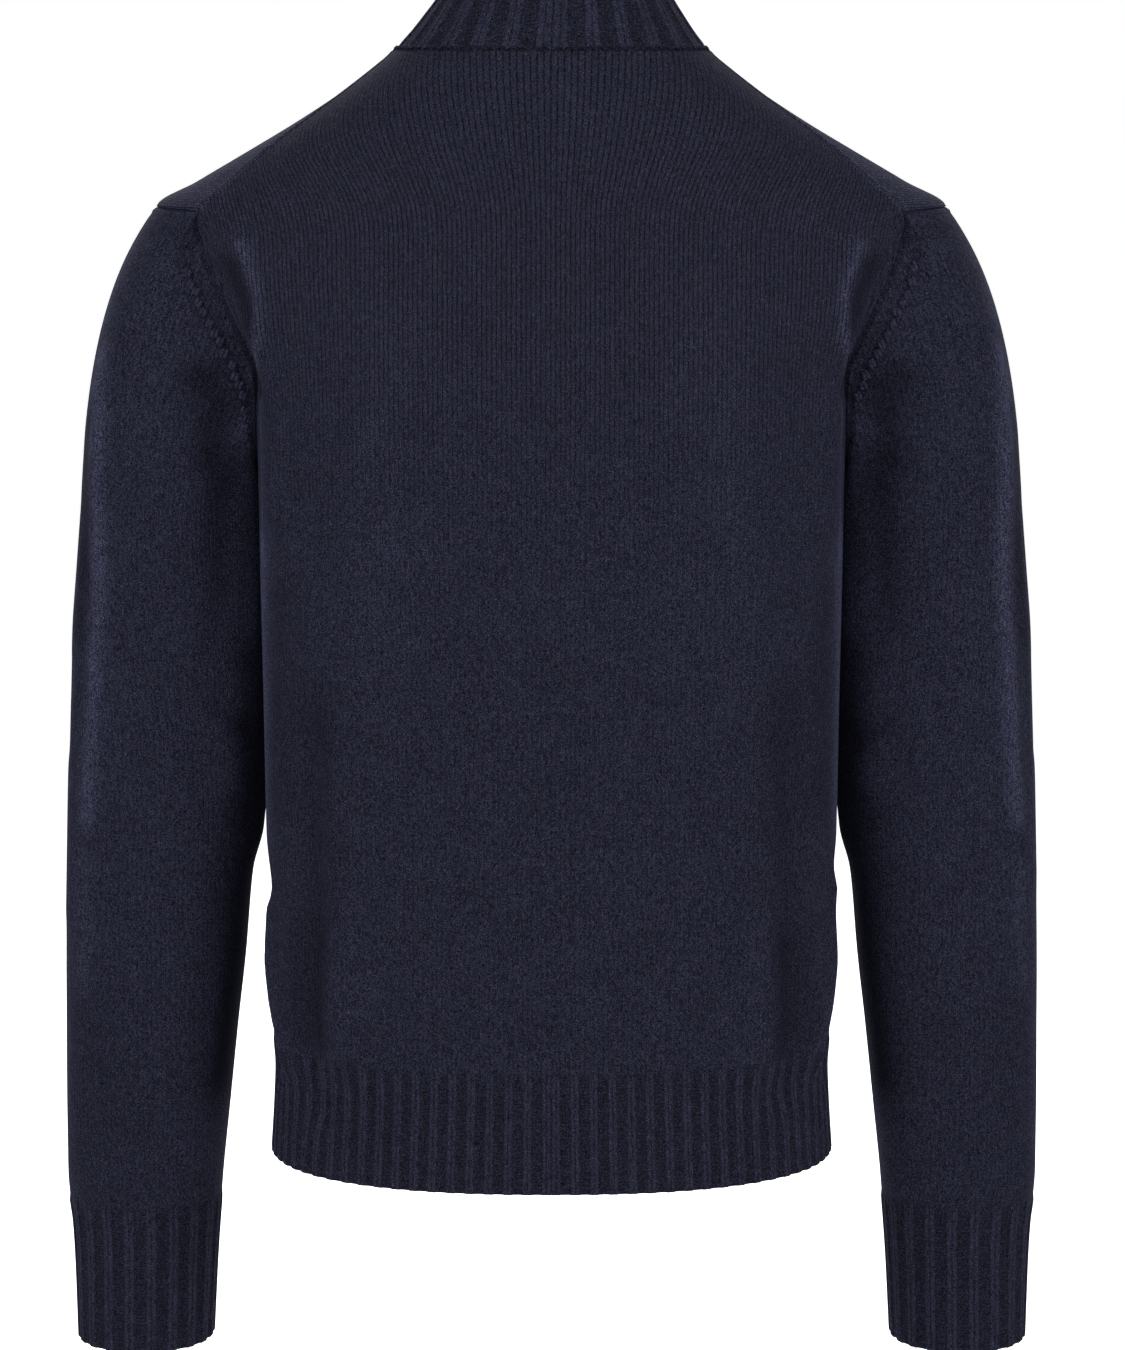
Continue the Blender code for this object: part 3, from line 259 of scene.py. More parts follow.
# Painted light and shade: each line lightens the colour (positive share, as on lit rims and ridges) or
# darkens it (negative share, as in hollows and gaps): half width, share, and the line by angle and level
bodyPaintedLight = (
    (0.0024, 1.05, ((24.2, -0.109), (25.5, -0.119), (27.0, -0.131), (27.2, -0.148), (26.5, -0.162),
                    (21.5, -0.181), (18.5, -0.200), (16.0, -0.250), (14.5, -0.285))),
    (0.0130, 1.25, ((14.0, -0.285), (12.0, -0.330), (8.0, -0.445))),
    (0.0070, -0.46, ((21.5, -0.122), (23.3, -0.140), (24.8, -0.154))),
    (0.0180, -0.22, ((21.0, -0.310), (20.0, -0.420))),
    (0.0120, -0.28, ((33.5, -0.363), (29.5, -0.480), (29.8, -0.561))),
    (0.0090, -0.20, ((24.0, -0.500), (23.0, -0.560))),
    (0.0200, 0.10, ((52.0, -0.150), (48.0, -0.276), (44.0, -0.360))),
    (0.0090, 0.14, ((37.5, -0.500), (36.0, -0.568))),
    (0.0060, 0.30, ((9.0, -0.490), (19.5, -0.577))),
    (0.0070, -0.22, ((30.5, -0.505), (30.5, -0.568))),
    (0.0110, 0.35, ((3.0, -0.470), (3.0, -0.600))),
)
sleevePaintedLight = (
    (0.0056, 0.95, ((35.0, -0.172), (46.0, -0.217), (53.0, -0.269), (55.0, -0.314), (44.0, -0.444))),
    (0.0080, 0.35, ((43.0, -0.470), (41.0, -0.540))),
    (0.0055, -0.35, ((33.0, -0.205), (42.0, -0.246), (41.0, -0.292), (40.0, -0.340))),
    (0.0090, -0.50, ((84.0, -0.183), (97.0, -0.198), (103.0, -0.212), (110.0, -0.232))),
    (0.0120, 1.60, ((128.0, -0.214), (146.0, -0.238), (156.0, -0.271), (156.0, -0.330))),
    (0.0110, 0.55, ((134.0, -0.265), (131.0, -0.345), (134.0, -0.420))),
    (0.0120, 0.35, ((8.0, -0.128), (20.0, -0.150))),
    (0.0300, -0.11, ((62.0, -0.570), (66.0, -0.660))),
    (0.0130, -0.60, ((153.0, -0.392), (152.0, -0.430), (157.0, -0.470), (155.0, -0.520), (152.0, -0.600))),
)


# ---- surfaces

def smoothTable(rows):  # smooth columns over the first one, with no overshoot
    table = np.array(sorted(rows), float)
    at, values = table[:, 0], table[:, 1:]
    slope = np.diff(values, axis=0) / np.diff(at)[:, None]
    product, total = slope[1:] * slope[:-1], slope[1:] + slope[:-1]
    inner = np.where(product > 0, 2 * product / np.where(total == 0, 1, total), 0)
    slopes = np.vstack([slope[:1], inner, slope[-1:]])

    def read(x):
        x = np.clip(np.asarray(x, float), at[0], at[-1])
        low = np.clip(np.searchsorted(at, x, side="right") - 1, 0, len(at) - 2)
        width = (at[low + 1] - at[low])[..., None]
        t = (x - at[low])[..., None] / width
        smooth = t * t * (3 - 2 * t)
        found = (1 - smooth) * values[low] + smooth * values[low + 1]
        found = found + t * (1 - t) ** 2 * width * slopes[low]
        found = found + t * t * (t - 1) * width * slopes[low + 1]
        return np.moveaxis(found, -1, 0)

    return read


bodySection = smoothTable(bodyRows)
sleeveSection = smoothTable(sleeveRows)
neckline = smoothTable(necklineRows)
stripEnd = smoothTable(stripEndRows)
armholeBack = smoothTable(armholeBackRows)
armholeFront = smoothTable(armholeFrontRows)
shoulderSeam = smoothTable(shoulderRows)
collarLean = smoothTable(leanRows)


def unit(vectors):
    return vectors / np.maximum(np.linalg.norm(vectors, axis=-1, keepdims=True), 1e-12)


def dot(a, b):
    return np.sum(a * b, axis=-1, keepdims=True)


def smoothStep(low, high, x):
    t = np.clip((x - low) / (high - low), 0, 1)
    return t * t * (3 - 2 * t)


def bump(x, centre, halfWidth):
    return np.exp(-(((x - centre) / halfWidth) ** 2))


def gapToLine(angle, level, line, reach):  # on the unrolled cloth, to a line of (angle, level)
    around, gap = np.radians(angle) * reach, np.inf
    line = [np.array((math.radians(a) * reach, b)) for a, b in line]
    for start, end in zip(line, line[1:]):
        run = end - start
        along = ((around - start[0]) * run[0] + (level - start[1]) * run[1]) / (run @ run)
        along = np.clip(along, 0, 1)
        away = np.hypot(around - start[0] - along * run[0], level - start[1] - along * run[1])
        gap = np.minimum(gap, away)
    return gap


def foldRelief(folds, angle, level, side, reach):
    relief = np.zeros(np.broadcast(angle, level).shape)
    for which, fromAngle, fromLevel, toAngle, toLevel, halfWidth, height in folds:
        if which != -side:
            line = ((fromAngle, fromLevel), (toAngle, toLevel))
            relief = relief + height * bump(gapToLine(angle, level, line, reach), 0.0, halfWidth)
    return relief


# Sums the painted light and shade of each line, falling off with the gap to it
def paintedLightShare(lines, angle, level, reach):
    return sum(
        amount * bump(gapToLine(angle, level, line, reach), 0.0, halfWidth)
        for halfWidth, amount, line in lines
    )


def outlineReach(angle, halfWidth, depth, square):
    across = np.abs(np.cos(np.radians(angle))) / halfWidth
    along = np.abs(np.sin(np.radians(angle))) / depth
    return (across**square + along**square) ** (-1 / square)


def bodyPoint(angle, level, side=1):
    angle, level = np.broadcast_arrays(np.asarray(angle, float), np.asarray(level, float))
    halfWidth, backDepth, frontDepth, square = bodySection(level)
    reach = outlineReach(angle, halfWidth, np.where(angle > 0, backDepth, frontDepth), square)
    reach = reach + foldRelief(bodyFolds, angle, level, side, 0.150)
    turn = np.radians(angle)
    return np.stack([side * reach * np.cos(turn), reach * np.sin(turn), level], axis=-1)


def surfaceNormal(surface, first, second, side=1):
    step, rise = 0.4, 0.0012
    ahead = surface(first + step, second, side) - surface(first - step, second, side)
    above = surface(first, second + rise, side) - surface(first, second - rise, side)
    return side * unit(np.cross(ahead, above))


def bodyNormal(angle, level, side=1):
    return surfaceNormal(bodyPoint, np.asarray(angle, float), np.asarray(level, float), side)


collarCut = {
    "liftBack": 0.075,
    "liftSide": 0.063,
    "topHalfWidth": 0.0595,
    "topBack": 0.060,
    "topFront": 0.066,
    "square": 2.1,
    "tilt": -0.0028,
}


def collarPoint(angle, rise, side=1):
    angle, rise = np.broadcast_arrays(np.asarray(angle, float), np.asarray(rise, float))
    baseLevel = neckline(angle)[0]
    halfWidth, backDepth, frontDepth, square = bodySection(baseLevel)
    base = outlineReach(angle, halfWidth, np.where(angle > 0, backDepth, frontDepth), square)
    topDepth = np.where(angle > 0, collarCut["topBack"], collarCut["topFront"])
    top = outlineReach(angle, collarCut["topHalfWidth"], topDepth, collarCut["square"])
    lean = collarLean(rise)[0]
    reach = base + (top - base) * lean
    sideways = np.cos(np.radians(angle)) ** 2
    lift = collarCut["liftBack"] + (collarCut["liftSide"] - collarCut["liftBack"]) * sideways
    x = side * reach * np.cos(np.radians(angle)) + collarCut["tilt"] * lean
    return np.stack([x, reach * np.sin(np.radians(angle)), baseLevel + rise * lift], axis=-1)


def collarNormal(angle, rise, side=1):
    rise = np.asarray(rise, float)
    ahead = collarPoint(angle + 0.4, rise, side) - collarPoint(angle - 0.4, rise, side)
    low, high = np.maximum(rise - 0.02, 0), np.minimum(rise + 0.02, 1)
    above = collarPoint(angle, high, side) - collarPoint(angle, low, side)
    return side * unit(np.cross(ahead, above))


# Round the armhole: 0 to 1 the strip's end, to 2 the back, to 3 the front
armhole = {
    "middle": -0.163,
    "halfHeight": 0.072,
    "halfDepth": 0.056,
    "outward": 0.66,
    "sideways": 0.15,
    "fall": -0.75,
    "underOutward": 0.30,
    "underFall": -0.95,
    "startPull": 0.95,
    "endPull": 0.85,
    "tubeLean": 0.06,
    "roundOver": 0.011,
    "cornerReach": 0.013,
    "sleeveSquare": 2.25,
    "sleeveReach": 0.054,
}


def armholePlace(way):
    way = np.mod(np.asarray(way, float), 3.0)
    paths = (stripEnd(way), armholeBack(way - 1), armholeFront(way - 2))
    chosen = np.floor(way).astype(int)
    return [np.choose(chosen, [path[i] for path in paths]) for i in (0, 1)]


def armholeTurn(point):  # the way round the sleeve that belongs to a point of the armhole
    above = (point[..., 2] - armhole["middle"]) / armhole["halfHeight"]
    return np.degrees(np.arctan2(point[..., 1] / armhole["halfDepth"], above)) % 360


def roundedArmhole(steps=1200):  # the armhole's line with its corner rounded off
    ways = np.linspace(0, 3, steps + 1)
    line = bodyPoint(*armholePlace(ways))
    travelled = np.concatenate([[0], np.cumsum(np.linalg.norm(np.diff(line, axis=0), axis=1))])
    even = np.linspace(0, travelled[-1], steps + 1)
    offset = (np.arange(steps) + steps // 2) % steps - steps // 2
    spread = np.exp(-0.5 * (offset * even[1] / armhole["roundOver"]) ** 2)
    spread = np.fft.fft(spread / spread.sum())
    soft = []
    for i in range(3):
        values = np.fft.fft(np.interp(even[:-1], travelled, line[:, i]))
        values = np.real(np.fft.ifft(values * spread))
        soft.append(np.append(values, values[0]))
    return lambda way: np.stack(
        [np.interp(np.interp(np.mod(way, 3.0), ways, travelled), even, v) for v in soft], axis=-1
    )


softArmhole = roundedArmhole()


def tubePoint(turn, level, side=1):
    turn, level = np.broadcast_arrays(np.asarray(turn, float), np.asarray(level, float))
    inner, outer, halfDepth, middle = sleeveSection(level)
    reach = outlineReach(turn, (outer - inner) / 2, halfDepth, armhole["sleeveSquare"])
    x = (outer + inner) / 2 + reach * np.cos(np.radians(turn))
    y = middle + reach * np.sin(np.radians(turn))
    return np.stack([side * x, y, level], axis=-1)


def cuffPoint(turn, level, side=1):
    point = tubePoint(turn, level, side)
    relief = foldRelief(sleeveFolds, turn, level, side, armhole["sleeveReach"])[..., None]
    turn = np.radians(np.broadcast_to(turn, relief.shape[:-1]))
    return point + np.stack([side * np.cos(turn), np.sin(turn), 0 * turn], axis=-1) * relief


def sleevePoint(way, travel, side=1):
    way, travel = np.broadcast_arrays(np.asarray(way, float), np.asarray(travel, float))
    soft = softArmhole(way)
    turn = armholeTurn(soft)
    under = ((1 - np.cos(np.radians(turn))) / 2) ** 2
    outwards = armhole["outward"] + (armhole["underOutward"] - armhole["outward"]) * under
    sideways = armhole["sideways"] * np.sin(np.radians(turn))
    falling = armhole["fall"] * (1 - under) + armhole["underFall"] * under
    leaving = unit(np.stack([outwards, sideways, falling], axis=-1))
    level = cut["sleeveRing"] + np.clip(travel - 1, 0, 1) * (cut["cuffTop"] - cut["sleeveRing"])
    ring = tubePoint(turn, level)
    t = np.clip(travel, 0, 1)[..., None]
    far = np.linalg.norm(ring - soft, axis=-1, keepdims=True)
    exact = np.exp(-((t * far / armhole["cornerReach"]) ** 2))
    start = soft + (bodyPoint(*armholePlace(way)) - soft) * exact
    lean = armhole["tubeLean"] * np.cos(np.radians(turn)) ** 2
    finish = unit(np.stack([lean, 0 * lean, -np.ones_like(lean)], axis=-1))
    smooth = t * t * (3 - 2 * t)
    cap = (1 - smooth) * start + smooth * ring
    cap = cap + t * (1 - t) ** 2 * far * armhole["startPull"] * leaving
    cap = cap + t * t * (t - 1) * far * armhole["endPull"] * finish
    point = np.where(travel[..., None] >= 1, ring, cap)
    fade = np.clip((travel - 0.25) / 0.35, 0, 1)
    relief = foldRelief(sleeveFolds, turn, point[..., 2], side, armhole["sleeveReach"]) * fade
    outward = np.stack([np.cos(np.radians(turn)), np.sin(np.radians(turn)), 0 * turn], axis=-1)
    return (point + outward * relief[..., None]) * np.array((side, 1.0, 1.0))


def sleeveNormal(way, travel, side=1):
    low, high = np.maximum(travel - 0.01, 0), np.minimum(travel + 0.01, 2)
    ahead = sleevePoint(way + 0.01, travel, side) - sleevePoint(way - 0.01, travel, side)
    down = sleevePoint(way, high, side) - sleevePoint(way, low, side)
    return side * unit(np.cross(down, ahead))


def frontCentreAngle(level):  # of the front's edge beside the zip
    return -90 + np.degrees(cut["frontEdge"] / bodySection(level)[2])


def frontLine(x, station):  # beside the zip: below 0 a level, 0 to 1 up the collar
    side = -1 if x < 0 else 1
    if station < 0:
        angle = math.degrees(math.atan2(-bodySection(station)[2], abs(x)))
        return bodyPoint(angle, station, side), bodyNormal(angle, station, side)
    angle = math.degrees(math.atan2(-abs(collarPoint(-90.0, station)[1]), abs(x)))
    return collarPoint(angle, station, side), collarNormal(angle, station, side)


# ---- knit numbers: how many wales and courses from the middle each place is

def lookUp(table, rows, columns, row, column):
    i = np.clip(np.interp(row, rows, np.arange(len(rows))), 0, len(rows) - 1.001)
    j = np.clip(np.interp(column, columns, np.arange(len(columns))), 0, len(columns) - 1.001)
    a, b = i.astype(int), j.astype(int)
    s, t = i - a, j - b
    low = table[a, b] * (1 - t) + table[a, b + 1] * t
    return low * (1 - s) + (table[a + 1, b] * (1 - t) + table[a + 1, b + 1] * t) * s


walePitch = smoothTable(  # wales spread towards the neck
    (
        (-0.66, 0.00268),
        (-0.105, 0.00270),
        (-0.09, 0.00274),
        (-0.075, 0.00292),
        (-0.055, 0.00328),
        (-0.04, 0.00350),
        (-0.02, 0.00372),
        (0.01, 0.00385),
    )
)


def bodyCounts(side):
    levels, angles = np.linspace(-0.66, 0.0, 133), np.linspace(-90, 90, 181)
    grid = bodyPoint(angles[None, :], levels[:, None], side)
    steps = np.linalg.norm(np.diff(grid, axis=1), axis=2)
    around = np.concatenate([np.zeros((len(levels), 1)), np.cumsum(steps, axis=1)], axis=1)
    along = unit(np.gradient(grid, axis=1))
    rise = np.diff(grid, axis=0)
    rise = np.linalg.norm(rise - along[:-1] * dot(rise, along[:-1]), axis=2)
    courses = np.concatenate([np.zeros((1, len(angles))), np.cumsum(rise, axis=0)])
    courses = courses / cut["coursePitch"]

    def count(angle, level, front):
        pitch = walePitch(level)[0]
        here = lookUp(around, levels, angles, level, np.minimum(angle, 0) if front else angle)
        whole = lookUp(around, levels, angles, level, np.full_like(level, 90.0))
        wale = here / pitch if front else (whole - here) / pitch
        course = lookUp(courses, levels, angles, level, np.minimum(angle, 0) if front else angle)
        if front:  # past the shoulder line the wales run on over the back
            beyond = lookUp(around, levels, angles, level, np.maximum(angle, 0))
            ridge = lookUp(around, levels, angles, level, np.zeros_like(level))
            course = course + (beyond - ridge) * (angle > 0) / cut["coursePitch"]
        return side * wale, course

    return count


counts = {side: bodyCounts(side) for side in (1, -1)}


def sleeveCounts(points, side):
    line = sleevePoint(0.0, np.linspace(0, 2, 161))
    order = np.argsort(line[:, 2])
    outerX = np.interp(points[..., 2], line[order, 2], line[order, 0])
    travelled = np.concatenate([[0], np.cumsum(np.linalg.norm(np.diff(line, axis=0), axis=1))])
    course = -np.interp(points[..., 2], line[order, 2], travelled[order])
    inner, outer, halfDepth, middle = sleeveSection(points[..., 2])
    halfWidth = (outer - inner) / 2
    angle = np.degrees(
        np.arctan2(points[..., 1] - middle, points[..., 0] * side - outerX + halfWidth)
    )
    turns = np.linspace(-180, 180, 361)
    ring = tubePoint(turns, cut["sleeveRing"])
    arc = np.concatenate([[0], np.cumsum(np.linalg.norm(np.diff(ring, axis=0), axis=1))])
    scale = halfDepth / sleeveSection(cut["sleeveRing"])[2]
    arc = np.interp(angle, turns, arc - arc[180]) * scale
    return side * arc / cut["walePitch"], course / cut["coursePitch"]


# ---- making meshes

def addPiece(name, mesh, material, body="garment", replaced=()):
    mesh.materials.append(material)
    piece = bpy.data.objects.new(name, mesh)
    scene.collection.objects.link(piece)
    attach(piece, body)
    if replaced:
        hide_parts(*replaced)


def stripFaces(first, second):
    faces, i, j = [], 0, 0
    while i < len(first) - 1 or j < len(second) - 1:
        nextFirst, nextSecond = (i + 1) / (len(first) - 1), (j + 1) / (len(second) - 1)
        if j == len(second) - 1 or (i < len(first) - 1 and nextFirst <= nextSecond):
            faces.append((first[i], first[i + 1], second[j]))
            i += 1
        else:
            faces.append((first[i], second[j + 1], second[j]))
            j += 1
    return faces


def makeWall(name, outer, inner, count, wrap, every, material, replaced, paintedLight=None):
    # A wall between a fine outer grid and a coarser inner one; with wrap the last column is the first
    inner, innerCount = inner[::every[0], ::every[1]], [c[::every[0], ::every[1]] for c in count]
    vertices, faces, numbers = [], [], []
    rings = []
    for grid, (wales, courses) in ((outer, count), (inner, innerCount)):
        rows, columns = grid.shape[:2]
        kept = columns - 1 if wrap else columns
        start = sum(len(v) for v in vertices)
        vertices.append(grid[:, :kept].reshape(-1, 3))
        index = start + np.arange(rows)[:, None] * kept + (np.arange(columns) % kept)[None, :]
        corner = [index[:-1, :-1], index[:-1, 1:], index[1:, 1:], index[1:, :-1]]
        number = np.stack([wales, courses], axis=-1)
        corners = [number[:-1, :-1], number[:-1, 1:], number[1:, 1:], number[1:, :-1]]
        faces.append(np.stack(corner, axis=-1).reshape(-1, 4))
        numbers.append(np.stack(corners, axis=2).reshape(-1, 4, 2))
        rings.append((index, number))
    faces[1], numbers[1] = faces[1][:, ::-1], numbers[1][:, ::-1]
    quads = [tuple(face) for face in np.concatenate(faces).tolist()]
    uvs = list(np.concatenate(numbers).reshape(-1, 2))
    (outerIndex, outerNumber), (innerIndex, _) = rings
    known = dict(zip(outerIndex.ravel().tolist(), outerNumber.reshape(-1, 2)))
    known.update(zip(innerIndex.ravel().tolist(), rings[1][1].reshape(-1, 2)))
    edges = [(outerIndex[0], innerIndex[0], True), (outerIndex[-1], innerIndex[-1], False)]
    if not wrap:
        edges.append((outerIndex[:, 0], innerIndex[:, 0], False))
        edges.append((outerIndex[:, -1], innerIndex[:, -1], True))
    for a, b, flip in edges:
        for face in stripFaces(a.tolist(), b.tolist()):
            quads.append(face if flip else face[::-1])
            uvs.extend(known[v] for v in (face if flip else face[::-1]))
    mesh = bpy.data.meshes.new(name)
    mesh.from_pydata(np.concatenate(vertices).tolist(), [], quads)
    layer = mesh.uv_layers.new(name="knit")
    layer.data.foreach_set("uv", np.array(uvs, dtype=np.float32).ravel())
    edit = bmesh.new()
    edit.from_mesh(mesh)
    bmesh.ops.recalc_face_normals(edit, faces=edit.faces)
    edit.to_mesh(mesh)
    edit.free()
    mesh.shade_smooth()
    mesh.set_sharp_from_angle(angle=math.radians(58))
    # The painted light and shade go onto the outer grid as a point attribute
    if paintedLight is not None:
        share = np.zeros(len(mesh.vertices), dtype=np.float32)
        columns = outer.shape[1] - 1 if wrap else outer.shape[1]
        share[: len(outer) * columns] = paintedLight[:, :columns].ravel()
        mesh.attributes.new("paintedLight", "FLOAT", "POINT").data.foreach_set("value", share)
    addPiece(name, mesh, material, replaced=replaced)


def edgeShares(total, step, near, reach):  # shares of a row, denser over the first stretch
    dense = np.arange(0, reach, near)
    rest = np.linspace(reach, total, max(int((total - reach) / step), 2))
    return np.concatenate([dense, rest]) / total


def rowDistance(points):  # from the first column, along each row
    steps = np.linalg.norm(np.diff(points, axis=1), axis=2)
    return np.concatenate([np.zeros((len(points), 1)), np.cumsum(steps, axis=1)], axis=1)


# ---- shader tools

def newGroup(name, inputs, outputs):
    tree = bpy.data.node_groups.new(name, "ShaderNodeTree")
    for label, kind, value in inputs:
        socket = tree.interface.new_socket(label, in_out="INPUT", socket_type=kind)
        if value is not None:
            socket.default_value = value
    for label, kind in outputs:
        tree.interface.new_socket(label, in_out="OUTPUT", socket_type=kind)
    return tree, tree.nodes.new("NodeGroupInput").outputs, tree.nodes.new("NodeGroupOutput").inputs


def link(tree, source, socket):
    if isinstance(source, bpy.types.NodeSocket):
        tree.links.new(source, socket)
    else:
        socket.default_value = source


def calc(tree, operation, *values):
    node = tree.nodes.new("ShaderNodeMath")
    node.operation = operation
    for value, socket in zip(values, node.inputs):
        link(tree, value, socket)
    return node.outputs[0]


def fit(tree, value, low, high, toLow=0.0, toHigh=1.0, smooth=True):
    node = tree.nodes.new("ShaderNodeMapRange")
    node.interpolation_type = "SMOOTHSTEP" if smooth else "LINEAR"
    for source, socket in zip((value, low, high, toLow, toHigh), node.inputs):
        link(tree, source, socket)
    return node.outputs[0]


def noise(tree, vector, scale, detail=2.0, rough=0.5, distortion=0.0):
    node = tree.nodes.new("ShaderNodeTexNoise")
    for label, value in (
        ("Vector", vector), ("Scale", scale), ("Detail", detail),
        ("Roughness", rough), ("Distortion", distortion),
    ):
        link(tree, value, node.inputs[label])
    return node.outputs["Fac"]


def mixColour(tree, amount, first, second, blend="MIX"):
    node = tree.nodes.new("ShaderNodeMix")
    node.data_type, node.blend_type = "RGBA", blend
    link(tree, amount, node.inputs[0])
    link(tree, (*first, 1) if isinstance(first, tuple) else first, node.inputs[6])
    link(tree, (*second, 1) if isinstance(second, tuple) else second, node.inputs[7])
    return node.outputs[2]


def useGroup(tree, group, **values):
    node = tree.nodes.new("ShaderNodeGroup")
    node.node_tree = group
    for label, value in values.items():
        link(tree, value, node.inputs[label])
    return node.outputs


def makeKnitGroup():
    # Loops of plain knit as stacked V's; ribWeight turns two of every four wales to purl bars
    tree, given, out = newGroup(
        "knitLoops",
        [
            ("Numbers", "NodeSocketVector", None),
            ("Wander", "NodeSocketFloat", 0.2),
            ("RibWeight", "NodeSocketFloat", 0.0),
        ],
        [("Height", "NodeSocketFloat"), ("Groove", "NodeSocketFloat"), ("Luck", "NodeSocketFloat")],
    )
    split = tree.nodes.new("ShaderNodeSeparateXYZ")
    link(tree, given["Numbers"], split.inputs[0])
    drift = calc(tree, "SUBTRACT", noise(tree, given["Numbers"], 0.11, 3.0), 0.5)
    jitter = calc(tree, "SUBTRACT", noise(tree, given["Numbers"], 0.83, 2.0, 0.7), 0.5)
    wale = calc(tree, "MULTIPLY_ADD", drift, given["Wander"], split.outputs[0])
    wale = calc(tree, "MULTIPLY_ADD", jitter, calc(tree, "MULTIPLY", given["Wander"], 0.6), wale)
    course = calc(tree, "MULTIPLY_ADD", jitter, 0.55, split.outputs[1])
    course = calc(tree, "MULTIPLY_ADD", drift, 1.6, course)
    inWale = calc(tree, "SUBTRACT", calc(tree, "FRACT", wale), 0.5)
    fromMiddle = calc(tree, "MULTIPLY", calc(tree, "ABSOLUTE", inWale), 2.0)
    legPlace = calc(tree, "SUBTRACT", calc(tree, "MULTIPLY", fromMiddle, 2.0), 1.0)
    legRound = calc(tree, "SUBTRACT", 1.0, calc(tree, "POWER", calc(tree, "ABSOLUTE", legPlace), 2.4))
    slant = calc(tree, "MULTIPLY_ADD", fromMiddle, -0.72, course)
    along = calc(tree, "FRACT", slant)
    loop = calc(tree, "SINE", calc(tree, "MULTIPLY", along, math.pi))
    plain = calc(tree, "MULTIPLY", legRound, calc(tree, "MULTIPLY_ADD", loop, 0.5, 0.5))
    waleRound = calc(tree, "SUBTRACT", 1.0, calc(tree, "POWER", fromMiddle, 2.2))
    plain = calc(tree, "MULTIPLY_ADD", waleRound, 0.62, calc(tree, "MULTIPLY", plain, 0.38))
    arc = calc(tree, "MULTIPLY_ADD", calc(tree, "POWER", fromMiddle, 2.0), 0.25, course)
    bar = calc(tree, "ABSOLUTE", calc(tree, "SINE", calc(tree, "MULTIPLY", arc, math.pi)))
    purl = calc(tree, "MULTIPLY", bar, 0.55)
    whichWale = calc(tree, "MODULO", calc(tree, "ADD", wale, 4000.0), 4.0)
    isPurl = calc(tree, "MULTIPLY", calc(tree, "LESS_THAN", whichWale, 2.0), given["RibWeight"])
    difference = calc(tree, "SUBTRACT", purl, plain)
    link(tree, calc(tree, "MULTIPLY_ADD", difference, isPurl, plain), out["Height"])
    link(tree, fit(tree, fromMiddle, 0.45, 1.0), out["Groove"])
    cell = tree.nodes.new("ShaderNodeCombineXYZ")
    link(tree, calc(tree, "FLOOR", calc(tree, "MULTIPLY", wale, 2.0)), cell.inputs[0])
    link(tree, calc(tree, "FLOOR", slant), cell.inputs[1])
    luck = tree.nodes.new("ShaderNodeTexWhiteNoise")
    luck.noise_dimensions = "2D"
    link(tree, cell.outputs[0], luck.inputs["Vector"])
    link(tree, luck.outputs["Value"], out["Luck"])
    return tree


def makeWoolGroup():
    # Melange yarn: pale single fibres, a grain of lighter and darker tufts, slow clouds, a fine fuzz bump
    tree, given, out = newGroup(
        "woolMelange",
        [("Place", "NodeSocketVector", None)],
        [
            ("Grain", "NodeSocketFloat"), ("Cloud", "NodeSocketFloat"),
            ("Nap", "NodeSocketFloat"), ("Hair", "NodeSocketFloat"), ("Warm", "NodeSocketFloat"),
        ],
    )
    hairs = None
    for turn, scale in ((0.5, 1.0), (-0.7, 1.15), (1.9, 0.9)):
        mapping = tree.nodes.new("ShaderNodeMapping")
        link(tree, given["Place"], mapping.inputs["Vector"])
        mapping.inputs["Rotation"].default_value = (turn * 0.6, turn, turn * 1.7)
        mapping.inputs["Scale"].default_value = (1900 * scale, 260 * scale, 1700 * scale)
        hair = fit(tree, noise(tree, mapping.outputs[0], 1.0, 1.0, 0.4), 0.62, 0.74)
        hairs = hair if hairs is None else calc(tree, "MAXIMUM", hairs, hair)
    link(tree, hairs, out["Hair"])
    grain = noise(tree, given["Place"], 1000.0, 4.0, 0.85)
    link(tree, fit(tree, grain, 0.37, 0.66, 0.0, 1.0, smooth=False), out["Grain"])
    cloud = noise(tree, given["Place"], 38.0, 4.0, 0.62)
    link(tree, fit(tree, cloud, 0.28, 0.72, 0.0, 1.0, smooth=False), out["Cloud"])
    link(tree, noise(tree, given["Place"], 1500.0, 3.0, 0.75), out["Nap"])
    link(tree, fit(tree, noise(tree, given["Place"], 620.0, 2.0, 0.7), 0.40, 0.60), out["Warm"])
    return tree


knitGroup, woolGroup = makeKnitGroup(), makeWoolGroup()

woolLook = {
    "main": (0.0079, 0.0090, 0.0186),
    "warm": (0.0101, 0.0091, 0.0170),
    "pale": (0.0950, 0.1020, 0.1500),
    # painted sheen: how much lighter the colour grows at grazing angles
    "paintedSheenGain": 1.30,
    "grainSpan": (0.00, 2.12),
    # the knit's loop pattern in the colour, with painted shade between the loops
    "loopShadeSpan": (0.55, 1.10),
    "luckSpan": (0.75, 0.45),
    "wanderSpan": (0.55, 0.06),
    "clearLevels": (-0.290, -0.120),
    "cloudSpan": (0.86, 1.12),
    "hairAmount": 0.45,
    "roughness": 0.95,
    "sheen": 0.030,
    "sheenRoughness": 0.45,
    "sheenTint": (0.50, 0.58, 0.90, 1.0),
    "specular": 0.04,
    # painted shade in the grooves between wales
    "paintedGrooveShade": 0.50,
    "grainCalm": 0.45,
    "loopDepth": 0.00045,
    "napDepth": 0.00024,
}


def startMaterial(name):
    material = bpy.data.materials.new(name)
    material.use_nodes = True
    tree = material.node_tree
    return material, tree, tree.nodes["Principled BSDF"]


